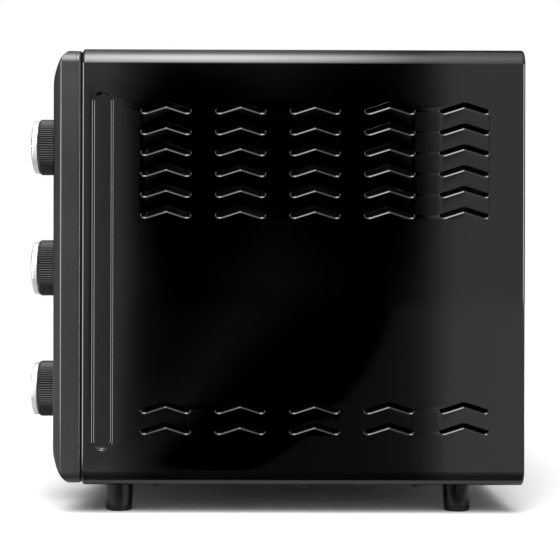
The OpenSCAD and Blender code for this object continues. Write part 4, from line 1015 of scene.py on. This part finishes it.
class Grower:
    """Geometry tree with named number inputs, which grows a mesh to the sizes it is given."""

    def __init__(self, name, **sizes):
        self.tree = bpy.data.node_groups.new(name, "GeometryNodeTree")
        sockets = self.tree.interface
        sockets.new_socket("Geometry", in_out="INPUT", socket_type="NodeSocketGeometry")
        for label, value in sizes.items():
            kind = "NodeSocketInt" if isinstance(value, int) else "NodeSocketFloat"
            made = sockets.new_socket(label.replace("_", " "), in_out="INPUT", socket_type=kind)
            made.default_value = value
        sockets.new_socket("Geometry", in_out="OUTPUT", socket_type="NodeSocketGeometry")
        entry = self.tree.nodes.new("NodeGroupInput").outputs
        self.start = Number(self.tree, entry["Geometry"])
        self.sizes = [Number(self.tree, entry[label.replace("_", " ")]) for label in sizes]

    def make(self, kind, inputs=None, **settings):
        return node(self.tree, "GeometryNode" + kind, 0, inputs, **settings)

    def at(self, x=0.0, y=0.0, z=0.0):
        return node(self.tree, "ShaderNodeCombineXYZ", 0, {"X": x, "Y": y, "Z": z})

    def drum(self, vertices, segments):
        """Drum of radius 1 with its side cut into rings; gives it, its points' angles and their height share."""
        mesh = self.make("MeshCylinder", {"Vertices": vertices, "Side Segments": segments, "Fill Segments": 1,
                                          "Radius": 1.0, "Depth": 1.0}, fill_type="NGON")
        x, y, z = parts_of(self.make("InputPosition"))
        return mesh, y.to("ARCTAN2", x), z + 0.5

    def reshape(self, drum, turn, radius, height):
        place = self.at(radius * turn.to("COSINE"), radius * turn.to("SINE"), height)
        return self.make("SetPosition", {0: drum, "Position": place})

    def copies(self, points, shape, turn):
        """Copies of a shape on points, each turned about z."""
        spin = node(self.tree, "FunctionNodeEulerToRotation", 0, {0: self.at(z=turn)})
        return self.make("InstanceOnPoints", {"Points": points, "Instance": shape, "Rotation": spin})

    def join(self, *parts):
        whole = self.tree.nodes.new("GeometryNodeJoinGeometry")
        for part in parts:
            part.into(whole.inputs[0])
        return Number(self.tree, whole.outputs[0])

    def finish(self, geometry, material):
        whole = self.make("RealizeInstances", {0: geometry})
        painted = self.make("SetMaterial", {0: whole, "Material": material})
        painted.into(self.tree.nodes.new("NodeGroupOutput").inputs[0])

    def grow(self, start=None, **sizes):
        holder = held("holder", start or bpy.data.meshes.new("start"))
        modifier = holder.modifiers.new("grow", "NODES")
        modifier.node_group = self.tree
        for item in self.tree.interface.items_tree:
            label = item.name.replace(" ", "_")
            if item.in_out == "INPUT" and label in sizes:
                modifier[item.identifier] = sizes[label]
        return evaluated(holder)


# ---- knobs ----

CAP_LAP = 0.9
CAP_DOME = 1.5
CAP_RIM = 1.2
RIM_END = 80


def ribbed_grip(material):
    """Round grip with ribs down its side and a rounded front shoulder, standing on z = 0."""
    grower = Grower("ribbed_grip", Radius=0.0196, Length=0.0166, Ribs=72, Rib_Depth=0.0006, Shoulder=0.0016)
    size, reach, ribs, rib_depth, shoulder = grower.sizes
    drum, turn, along = grower.drum(ribs * 8.0, 12)
    straight = (along * 2.0).to("MINIMUM", 1.0)
    bend = (along * 2.0 - 1.0).to("MAXIMUM", 0.0) * (math.pi / 2)
    height = straight * (reach - shoulder) + bend.to("SINE") * shoulder
    drop = (1.0 - bend.to("COSINE")) * shoulder
    valley = (1.0 - abs((turn * ribs * 0.5).to("COSINE"))) * rib_depth * bend.to("COSINE")
    grower.finish(grower.reshape(drum, turn, size - drop - valley, height), material)
    return grower


def cap_profile(radius, height):
    """Half section of a knob's metal cap: flat back, straight side, rounded rim and shallow dome."""
    points = [(0, 0), (radius - 0.3, 0), (radius, 0.3)]
    dome_r = (radius * radius + CAP_DOME * CAP_DOME) / (2 * CAP_DOME)
    points += arc(radius - CAP_RIM, height - CAP_DOME - 0.1 - CAP_RIM, CAP_RIM, 0, RIM_END, 8)
    start = points[-1][0]
    for k in range(1, 15):
        r = start * (1 - k / 14)
        points.append((r, height - dome_r + math.sqrt(dome_r * dome_r - r * r)))
    return points


grips = ribbed_grip(knob_black)
for control in CONTROLS:
    body = control + "_control"
    knob = box(control + "_knob")
    grip = grips.grow(Radius=knob.wide * MM / 2, Length=(knob.deep - CAP_LAP) * MM)
    fitted(control + "_grip", placed(grip, (knob.mid.x, knob.high.y, knob.mid.z), "front"), knob_black, body,
           "handle_black", control + "_knob")
    metal = box(control + "_knob_cap")
    cap = turned(cap_profile(metal.wide / 2, metal.deep + CAP_LAP), 96)
    cap = placed(cap, (knob.mid.x, metal.high.y + CAP_LAP * MM, knob.mid.z), "front")
    fitted(control + "_cap", cap, silver, body, "silver_trim", control + "_knob_cap")


# ---- feet ----

FOOT_TOP_R = 9.8
FOOT_PAD_R = 8.8
PAD_LINE_Z = 3.6
RECESS_R = 4.6
RECESS_H = 9.0
FOOT_BORE_R = 2.2


def foot_profile(height):
    """Closed half section of a foot, up the outside from its pad and down its screw recess."""
    r = FOOT_PAD_R
    line = PAD_LINE_Z
    wall = r + (FOOT_TOP_R - r) * line / height
    points = [(r - 1.0, 0), (r - 0.5, 0.12), (r - 0.12, 0.5), (r, 1.0), (wall - 0.05, line - 0.4),
              (wall - 0.45, line - 0.15), (wall - 0.45, line + 0.15), (wall, line + 0.4)]
    points += [(wall + (FOOT_TOP_R - wall) * k / 4, line + (height - line) * k / 4) for k in range(1, 4)]
    points += [(FOOT_TOP_R - 0.05, height - 0.6), (FOOT_TOP_R - 0.5, height - 0.05), (FOOT_BORE_R, height - 0.05),
               (FOOT_BORE_R, RECESS_H), (RECESS_R - 0.3, RECESS_H), (RECESS_R, RECESS_H - 0.3), (RECESS_R, 0.5),
               (RECESS_R + 0.5, 0)]
    return points


foot_shape = turned(foot_profile(box("foot_front_left").high.z / MM), 64, ring=True)
for name in ("foot_front_left", "foot_front_right", "foot_rear_left", "foot_rear_right"):
    spot = box(name).mid
    fitted(name + "_rubber", placed(foot_shape, (spot.x, spot.y, 0)), rubber, "oven_body", "foot_rubber", name)


# ---- control panel ----

PRINT_T = 0.05
PRINT_MERGE = 8e-6
TICK_R = 21.6
WORD_H = 3.0
PANEL_CORNER = 3.0
PLATE_LIP = 0.5
SHAFT_HOLE_R = 4.2
LAMP_HOLE_R = 4.1
OFF_R = 26.6
# Rings of ticks (count, start, sweep, length, width) and words (radius, angle, word). Angles run clockwise from
# the top.
DIAL_TICKS = {"temperature": [(12, 60, 220, 1.6, 0.4), (6, 60, 220, 2.6, 0.6)],
              "function": [(4, 0, 180, 2.6, 0.6)],
              "timer": [(31, 0, 300, 1.4, 0.35), (7, 0, 300, 2.6, 0.6)]}
DIAL_WORDS = {"temperature": [(28.6, 60 + 44 * k, str(80 + 40 * k)) for k in range(6)], "function": [],
              "timer": [(28.0, 50 * k, str(10 * k)) for k in range(1, 7)]}
# Settings of the function dial: angle, upper element, lower element, fan.
FUNCTIONS = ((60, True, False, False), (120, False, True, False), (180, True, True, True))
SYMBOL_R = 29.5

panel = box("control_panel")
lamp = box("indicator_lens")
knob_spots = {control: box(control + "_knob").mid for control in CONTROLS}


def on_panel(mesh, x, z):
    """Puts a flat mesh, drawn with z towards the viewer, onto the panel's front."""
    return placed(mesh, (x, panel.low.y, z), "front")


openings = [(spot, SHAFT_HOLE_R) for spot in knob_spots.values()] + [(lamp.mid, LAMP_HOLE_R)]
panel_holes = [round_hole((spot.x - panel.mid.x) / MM, (spot.z - panel.mid.z) / MM, radius)
               for spot, radius in openings]
fascia = plate_outline(panel.wide / 2, panel.tall / 2, PANEL_CORNER)
fascia = pierced_plate(fascia, panel_holes, panel.deep, PLATE_LIP)
fitted("control_fascia", on_panel(fascia, panel.mid.x, panel.mid.z), gloss_black, "oven_body", "panel_black",
       "control_panel")


def dial_ticks(material):
    """Ring of dial ticks in the plane z = 0, clockwise from the top."""
    grower = Grower("dial_ticks", Count=11, Start=0.0, Sweep=3.0, Radius=0.022, Length=0.002, Width=0.0005,
                    Thickness=0.00005)
    count, start, sweep, radius, reach, width, thick = grower.sizes
    bar = grower.make("MeshCube", {"Size": grower.at(width, reach, thick)})
    bar = grower.make("Transform", {0: bar, "Translation": grower.at(0.0, radius + reach / 2.0, thick / 2.0)})
    spots = grower.make("MeshLine", {"Count": count, "Offset": (0, 0, 0)})
    step = grower.make("InputIndex") / (count - 1.0)
    grower.finish(grower.copies(spots, bar, (start + sweep * step) * -1.0), material)
    return grower


def lettering(words, x, y):
    """Flat printed word or number centred on (x, y) in millimetres."""
    curve = bpy.data.curves.new("print", "FONT")
    curve.body = words
    curve.size = WORD_H * MM * 1.4
    curve.align_x = "CENTER"
    curve.align_y = "CENTER"
    curve.resolution_u = 3
    curve.extrude = PRINT_T * MM / 2
    mesh = evaluated(held("print", curve))
    mesh.transform(Matrix.Translation((x * MM, y * MM, PRINT_T * MM / 2)))
    return tidied(mesh, PRINT_MERGE)


def strip_print(x0, x1, y0, y1):
    """Printed bar with softened ends."""
    loop = rounded(x0, x1, y0, y1, min(x1 - x0, y1 - y0) * 0.45, 3)
    return tube_of([[(x * MM, y * MM, h * MM) for x, y in loop] for h in (0, PRINT_T)], closed=False)


def round_the_dial(angle, radius):
    return radius * math.sin(math.radians(angle)), radius * math.cos(math.radians(angle))


def oven_symbol(x, y, top, bottom, fan):
    """Small outline of an oven with its upper and lower elements and its fan drawn where they are on."""
    w, h, t = 3.2, 2.6, 0.45
    bars = [(-w, w, h - t, h), (-w, w, -h, -h + t), (-w, -w + t, -h, h), (w - t, w, -h, h)]
    if top:
        bars.append((-w + 1.1, w - 1.1, h - 1.7, h - 1.1))
    if bottom:
        bars.append((-w + 1.1, w - 1.1, -h + 1.1, -h + 1.7))
    if fan:
        bars += [(-1.6 + 1.4 * k, -1.2 + 1.4 * k, -0.9, 0.9) for k in range(3)]
    return [strip_print(x + x0, x + x1, y + y0, y + y1) for x0, x1, y0, y1 in bars]


def dial_print(control):
    parts = [ticks.grow(Count=count, Start=math.radians(start), Sweep=math.radians(sweep), Radius=TICK_R * MM,
                        Length=reach * MM, Width=width * MM, Thickness=PRINT_T * MM)
             for count, start, sweep, reach, width in DIAL_TICKS[control]]
    for radius, angle, word in [(OFF_R, 0, "OFF")] + DIAL_WORDS[control]:
        parts.append(lettering(word, *round_the_dial(angle, radius)))
    if control == "function":
        for angle, *elements in FUNCTIONS:
            parts += oven_symbol(*round_the_dial(angle, SYMBOL_R), *elements)
    return parts


ticks = dial_ticks(print_white)
for control, spot in knob_spots.items():
    prints = joined([on_panel(part, spot.x, spot.z) for part in dial_print(control)])
    fitted(control + "_dial_print", prints, print_white, "oven_body", "panel_black", angle=None)

LENS = [(0, 0.1), (3.7, 0.1), (3.85, 0.3), (3.85, 4.6), (4.6, 4.6), (4.85, 4.8), (4.9, 5.1), (4.7, 5.35),
        (4.2, 5.45), (3.6, 5.6), (2.8, 5.74), (1.8, 5.81), (0.9, 5.83), (0, 5.835)]
fitted("lamp_lens", placed(turned(LENS), (lamp.mid.x, lamp.high.y, lamp.mid.z), "front"), red_lens, "oven_body",
       "lens_red", "indicator_lens")


# ---- pointers on the knobs ----

POINTER_FROM = 6.5
POINTER_REACH = 10.2
POINTER_HALF = 0.75
POINTER_END_HALF = 0.5


def pointer_mesh(radius, height):
    """Line set into a cap's domed face, from its middle ring out to the rim."""
    dome_r = (radius ** 2 + CAP_DOME ** 2) / (2 * CAP_DOME)
    loops = []
    for k in range(13):
        y = POINTER_FROM + POINTER_REACH * k / 12
        half = POINTER_HALF if 0 < k < 12 else POINTER_END_HALF
        top = height - dome_r + math.sqrt(dome_r ** 2 - y * y) + 0.02
        section = ((-half, top - 0.4), (half, top - 0.4), (half, top), (0, top + 0.03), (-half, top))
        loops.append([(x * MM, y * MM, z * MM) for x, z in section])
    return tube_of(loops, closed=False)


for control in CONTROLS:
    metal = box(control + "_knob_cap")
    line = placed(pointer_mesh(metal.wide / 2, metal.deep), (metal.mid.x, metal.high.y, metal.mid.z), "front")
    fitted(control + "_pointer", line, print_black, control + "_control", "handle_black")


# ---- door ----

STILE = 26.0
TOP_RAIL = 36.0
BOTTOM_RAIL = 24.0
LAP = 7.0
SPRING_BORE = 4.3
WINDOW_R = 7.0
WINDOW_LIP = 1.6
REBATE_R = 2.0
PANE_CLEAR = 0.1
DOOR_CORNER = 2.4
BORE_HALF = 13
DOOR_SOFT = 0.9
DOOR_GAPS = (0, 0.08, 0.25, 0.5, 0.9, 2.0, 3.6, 5.5, 7.4, 9.0, 10.1, 10.5, 10.75, 10.92, 11.0)
pane = box("door_glass")
pins = box("hinge_pins").mid
HINGE = Vector((MID_X, pins.y, pins.z))
DOOR_R = HINGE.z - door.low.z


def upright_loop(x0, x1, z0, z1, radius, y, grow=0.0):
    """Rounded rectangle in a plane facing the front, in metres, widened all round by grow."""
    return [(x, y, z) for x, z in rounded(x0 - grow, x1 + grow, z0 - grow, z1 + grow, radius + grow)]


def door_mesh():
    """Frame round the window, its lower edge a half round about the hinge, with a rebate for the glass behind."""
    x0, x1, z1 = door.low.x, door.high.x, door.high.z
    front, back = door.low.y, door.high.y
    soft = DOOR_SOFT * MM
    loops = []
    for gap in DOOR_GAPS:
        y = back - gap * (back - front) / DOOR_GAPS[-1]
        near = min(y - front, back - y)
        inset = soft - math.sqrt(max(soft ** 2 - (soft - near) ** 2, 0)) if near < soft else 0.0
        drop = math.sqrt(max(DOOR_R ** 2 - (y - HINGE.y) ** 2, 0))
        loops.append(upright_loop(x0 + inset, x1 - inset, HINGE.z - drop, z1 - inset, DOOR_CORNER * MM - inset,
                                  y))
    window = (x0 + STILE * MM, x1 - STILE * MM, door.low.z + BOTTOM_RAIL * MM, z1 - TOP_RAIL * MM)
    for t in quarter(4):
        loops.append(upright_loop(*window, WINDOW_R * MM, front + WINDOW_LIP * MM * (1 - math.cos(t)),
                                  WINDOW_LIP * MM * (1 - math.sin(t))))
    rest = pane.low.y - PANE_CLEAR * MM
    lap = (LAP - PANE_CLEAR) * MM
    loops.append(upright_loop(*window, WINDOW_R * MM, rest))
    loops += [upright_loop(*window, REBATE_R * MM - lap, y, lap) for y in (rest, back)]
    bore = turned([(0, -BORE_HALF), (SPRING_BORE, -BORE_HALF), (SPRING_BORE, BORE_HALF), (0, BORE_HALF)], 32)
    bores = tidied(joined([placed(bore, (x, HINGE.y, HINGE.z), "right") for x in (x0, x1)]))
    cutter = held("bores", bores)
    mesh = baked(tube_of(loops), "BOOLEAN", object=cutter, operation="DIFFERENCE", solver="EXACT")
    bpy.data.objects.remove(cutter)
    return mesh


def sheet_block(block, edge, hole=None):
    """Flat block facing the front with rounded corners and eased edges, with a rounded opening if asked."""
    ease = [(edge * (1 - math.sin(t)), edge * (1 - math.cos(t))) for t in quarter(2)]
    low, high = block.low, block.high
    sides = [(low.y + y, inset) for inset, y in ease] + [(high.y - y, inset) for inset, y in ease[::-1]]
    loops = [upright_loop(low.x, high.x, low.z, high.z, SHEET_CORNER * MM, y, -inset) for y, inset in sides]
    if hole:
        loops += [upright_loop(*hole, y, inset) for y, inset in sides[::-1]]
    return tube_of(loops, closed=bool(hole))


SHEET_CORNER = 1.9
PANE_EASE = 0.4
CLIP_EASE = 0.2
CLIP_CORNER = 5
RIM = 7.8 * MM
clip = box("glass_retainer")
fitted("door_panel", tidied(door_mesh()), gloss_black, "door", "panel_black", "door_frame", angle=35)
fitted("window_pane", sheet_block(pane, PANE_EASE * MM), glass, "door", "tinted_glass", "door_glass")
opening = (clip.low.x + RIM, clip.high.x - RIM, clip.low.z + RIM, clip.high.z - RIM, CLIP_CORNER * MM)
fitted("pane_retainer", sheet_block(clip, CLIP_EASE * MM, opening), galvanised, "door", "galvanised_steel",
       "glass_retainer")


# ---- handle ----

handle = box("door_handle")
HANDLE_Z = (handle.low.z + handle.high.z) / 2
HANDLE_T = 10.0
HANDLE_H = 16.0
HANDLE_LEN = 236.0
BOW = 12.0
BOW_R = ((HANDLE_LEN / 2) ** 2 + BOW ** 2) / (2 * BOW)
NOTCH_HALF = 2.5
NOTCH_DEPTH = 1.2
NOTCH_EASE = 0.25
POST_SPACING = 102
TRIM = [(3.9, -2.4), (4.75, -2.4), (4.92, -2.28), (5.0, -2.1), (5.0, 2.1), (4.92, 2.28), (4.75, 2.4), (3.9, 2.4)]


def along_bow(section, reach, ends):
    """Sweeps a section (ahead, up) along the handle's bow; ends gives (distance from the end, scale) pairs."""
    centre_y = handle.low.y / MM + HANDLE_T / 2 + BOW_R
    last = ends[-1][0]
    stations = [(-reach / 2 + d, scale) for d, scale in ends]
    stations += [(-reach / 2 + last + (reach - 2 * last) * k / 40, 1.0) for k in range(1, 40)]
    stations += [(reach / 2 - d, scale) for d, scale in ends[::-1]]
    loops = []
    for along, scale in stations:
        turn = math.asin(along / BOW_R)
        loops.append([((MID_X / MM + (BOW_R + ahead * scale) * math.sin(turn)) * MM,
                       (centre_y - (BOW_R + ahead * scale) * math.cos(turn)) * MM, HANDLE_Z + up * scale * MM)
                      for ahead, up in section])
    return tube_of(loops, closed=False)


def handle_section():
    half_t, half_h = HANDLE_T / 2, HANDLE_H / 2
    half_notch = [(half_t, NOTCH_HALF + NOTCH_EASE), (half_t - NOTCH_EASE, NOTCH_HALF),
                  (half_t - NOTCH_DEPTH, NOTCH_HALF)]
    return (rounded(-half_t, half_t, -half_h, half_h, half_t - 0.01) + [(x, -y) for x, y in half_notch]
            + half_notch[::-1])


bar = along_bow(handle_section(), HANDLE_LEN, [(0, 0.86), (0.12, 0.93), (0.4, 0.975), (0.9, 1.0)])
fitted("handle_bar", bar, handle_finish, "door", "handle_black", "door_handle")
fitted("handle_strip", along_bow(TRIM, HANDLE_LEN - 6, [(0, 1.0), (0.4, 1.0)]), brushed, "door", "silver_trim",
       "handle_trim")
posts = box("handle_posts")
reach = posts.deep
post = turned([(0, 0), (5.9, 0), (6.0, 0.15), (5.85, 0.6), (5.4, 1.0), (5.05, 1.7), (5.0, 2.6), (5.0, reach - 2.0),
               (5.0, reach - 0.6), (4.6, reach - 0.1), (0, reach - 0.1)])
stems = joined([placed(post, (MID_X + side * POST_SPACING * MM, posts.high.y, HANDLE_Z), "front")
                for side in (-1, 1)])
fitted("handle_stems", stems, handle_finish, "door", "handle_black", "handle_posts")


# ---- screws ----

HEAD_H = 0.002


def pan_screws(material):
    """Cross-recess pan head screws on the start's points, heads towards z, each turned by its own angle."""
    grower = Grower("pan_screws", Head_Radius=0.0032, Head_Height=HEAD_H, Shank_Radius=0.0017, Shank_Length=0.007,
                    Recess_Width=0.0009)
    head_r, head_h, shank_r, shank_length, recess = grower.sizes
    drum, turn, rise = grower.drum(36, 8)
    radius = head_r * (1.0 - rise * rise * 0.72).to("SQRT")
    head = grower.reshape(drum, turn, radius, head_h * (rise * (math.pi / 2)).to("SINE"))
    for x, y in ((head_r, recess), (recess, head_r)):
        bar = grower.make("MeshCube", {"Size": grower.at(x, y, head_h)})
        bar = grower.make("Transform", {0: bar, "Translation": grower.at(z=head_h)})
        head = grower.make("MeshBoolean", {"Mesh 1": head, "Mesh 2": bar}, operation="DIFFERENCE", solver="EXACT")
    shank = grower.make("MeshCylinder", {"Vertices": 16, "Radius": shank_r, "Depth": shank_length})
    shank = grower.make("Transform", {0: shank, "Translation": grower.at(z=0.0002 - shank_length / 2.0)})
    twist = (grower.make("InputIndex") + 1.0) * 2.4
    grower.finish(grower.copies(grower.start, grower.join(head, shank), twist), material)
    return grower


screws = pan_screws(zinc)


def screw_set(name, part, facing, material, body, **sizes):
    """Replaces a part's screws with detailed ones, their heads facing one way."""
    spots = []
    for piece in islands(part):
        spot = piece.mid
        if facing == "rear":
            spot.y = piece.high.y - HEAD_H
        else:
            spot.z = piece.low.z + HEAD_H
        spots.append(FACING[facing].inverted() @ spot)
    start = bpy.data.meshes.new("spots")
    start.from_pydata(spots, [], [])
    made = screws.grow(start, **sizes)
    made.transform(FACING[facing])
    fitted(name, tidied(made), material, body, "zinc_steel", part)


screw_set("rear_fixings", "rear_screws", "rear", black_zinc, "oven_body", Head_Height=0.0006, Head_Radius=0.0034)
screw_set("base_fixings", "base_screws", "down", black_zinc, "oven_body", Shank_Length=0.0068)
screw_set("handle_fixings", "handle_screws", "rear", zinc, "door", Shank_Length=0.02)


# ---- rear panel and lead gland ----

SCREW_HOLE_R = 1.9
GLAND_HOLE_R = 7.1
rear = box("rear_panel")
gland = box("cord_gland")
REAR_MID_Z = (rear.low.z + rear.high.z) / 2 / MM
REAR_VENT_Z = TOP_Z / MM - 45.7 - REAR_MID_Z
rear_holes = [(lambda grow, x=50 * i, z=REAR_VENT_Z - 14 * j: chevron(x, z, grow))
              for i in range(-2, 3) for j in range(6)]
rear_holes += [round_hole(screw.mid.x / MM, screw.mid.z / MM - REAR_MID_Z, SCREW_HOLE_R, 16)
               for screw in islands("rear_screws")]
rear_holes.append(round_hole(gland.mid.x / MM, gland.mid.z / MM - REAR_MID_Z, GLAND_HOLE_R))
cover = plate_outline(rear.high.x / MM, rear.tall / 2, BEND - SKIRT_INSET)
cover = pierced_plate(cover, rear_holes, SHEET, PLATE_LIP)
cover.transform(Matrix.Translation((0, rear.high.y, REAR_MID_Z * MM)) @ Matrix.Rotation(math.pi, 4, "Z")
                @ FACING["front"] @ Matrix.Scale(-1, 4, (1, 0, 0)))
fitted("rear_cover", tidied(cover), enamel, "oven_body", "black_enamel", "rear_panel")

flange = (REAR_Y - gland.low.y) / MM - SHEET + 0.1
reach = gland.deep
profile = [(3.6, 0.5), (4.1, 0), (7.4, 0), (8.0, 0.6), (8.2, flange - 1.0), (7.0, flange - 0.9), (7.0, flange),
           (9.4, flange), (9.85, flange + 0.2), (10.0, flange + 0.7), (9.8, flange + 1.9), (9.2, flange + 2.5),
           (7.4, flange + 2.5)]
for k in range(3):
    base = flange + 2.9 + 1.55 * k
    profile += [(7.0, base), (7.0, base + 0.6), (6.45, base + 0.8), (6.45, base + 1.25)]
profile += [(6.9, reach - 0.7), (6.4, reach), (4.3, reach), (3.6, reach - 0.7)]
fitted("lead_gland", placed(turned(profile, ring=True), (gland.mid.x, gland.low.y, gland.mid.z), "rear"), rubber,
       "oven_body", "foot_rubber", "cord_gland", angle=35)


# ---- heaters and their bushes ----

ROD_R = 3.3
PIN_R = 1.2
PIN_LEN = 4.0
for name in ("heater_upper_front", "heater_upper_rear", "heater_lower_front", "heater_lower_rear"):
    heater = box(name)
    half = heater.wide / 2
    end = half - PIN_LEN
    rod = [(PIN_R - 0.3, half), (PIN_R, half - 0.3), (PIN_R, end), (ROD_R - 0.4, end), (ROD_R, end - 0.4),
           (ROD_R, end - 60)]
    rod = [(0, -half)] + [(r, -x) for r, x in rod] + [(ROD_R, 0)] + rod[::-1] + [(0, half)]
    fitted(name + "_rod", placed(turned(rod, 28), heater.mid, "right"), sheath, "oven_body",
           "element_sheath", name)

bushes = []
for piece in islands("heater_insulators"):
    reach = piece.wide
    bush = turned([(3.5, 0.3), (3.8, 0), (8.7, 0), (9.2, 0.5), (9.2, 2.3), (8.9, 2.85), (6.6, 2.9), (6.6, reach - 0.5),
                   (6.1, reach), (3.8, reach), (3.5, reach - 0.3)], 32, ring=True)
    on_right = piece.mid.x > MID_X
    if not on_right:
        bush.transform(Matrix.Rotation(math.pi, 4, "X"))
    bushes.append(placed(bush, (piece.low.x if on_right else piece.high.x, piece.mid.y, piece.mid.z), "right"))
fitted("element_bushes", joined(bushes), ceramic, "oven_body", "ceramic_white", "heater_insulators")


# ---- rack ----

def oven_rack(material):
    """Wire rack in the plane z = 0: bent frame, a stay under its middle and thin rods welded on top."""
    grower = Grower("oven_rack", Width=0.287, Depth=0.25, Bend=0.012, Frame_Radius=0.002, Rod_Radius=0.00125,
                    Stay_Radius=0.0016, Rods=19, Overlap=0.001)
    width, depth, bend, frame_r, rod_r, stay_r, rods, overlap = grower.sizes

    def wire(path, radius, sides):
        ring = grower.make("CurvePrimitiveCircle", {"Resolution": sides, "Radius": radius}, mode="RADIUS")
        return grower.make("CurveToMesh", {"Curve": path, "Profile Curve": ring, "Fill Caps": True})

    def straight(start, end):
        return grower.make("CurvePrimitiveLine", {"Start": start, "End": end})

    frame_path = grower.make("CurvePrimitiveQuadrilateral", {"Width": width, "Height": depth}, mode="RECTANGLE")
    frame_path = grower.make("FilletCurve", {"Curve": frame_path, "Radius": bend, "Count": 8}, mode="POLY")
    half_d = depth / 2.0 + overlap
    half_w = width / 2.0
    rod = wire(straight(grower.at(y=half_d * -1.0), grower.at(y=half_d)), rod_r, 10)
    step = width / (rods + 1.0)
    first = grower.at(step - half_w, 0.0, frame_r + rod_r - 0.0003)
    spots = grower.make("MeshLine", {"Count": rods, "Start Location": first, "Offset": grower.at(step)})
    stay_z = frame_r - stay_r
    stay = wire(straight(grower.at(half_w * -1.0, 0.0, stay_z), grower.at(half_w, 0.0, stay_z)), stay_r, 10)
    row = grower.make("InstanceOnPoints", {"Points": spots, "Instance": rod})
    grower.finish(grower.join(wire(frame_path, frame_r, 14), row, stay), material)
    return grower


WIRE = 0.004
shelf = box("wire_rack")
rack = oven_rack(chrome).grow(Width=shelf.wide * MM - WIRE, Depth=shelf.deep * MM - WIRE)
rack.transform(Matrix.Translation((shelf.mid.x, shelf.mid.y, shelf.low.z + WIRE / 2)))
fitted("baking_rack", tidied(rack), chrome, "rack", "rack_wire", "wire_rack")


# ---- CAD pieces that stay, each with its finish ----

KEPT = ((galvanised, ("base_plate", "front_plate", "chamber_brackets", "rack_rail_left", "rack_rail_right",
                      "crumb_tray", "hinge_bracket_left", "hinge_bracket_right")),
        # The heat shield's near-black finish is painted shade behind the vents.
        (chamber_sheet, ("oven_chamber",)), (inner_enamel, ("heat_shield",)),
        (zinc, ("heater_links", "foot_screws", "bezel_screws", "chamber_screws", "control_nuts", "timer_bell",
                "door_spring_left", "door_spring_right", "hinge_pins", "temperature_shaft", "function_shaft",
                "timer_shaft")),
        (phenolic, ("thermostat", "function_switch", "timer", "indicator_lamp")),
        (ceramic, ("terminal_block",)), (copper, ("thermostat_bulb",)), (sleeve, ("wiring",)))
for material, names in KEPT:
    for name in names:
        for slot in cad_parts[name].material_slots:
            slot.material = material
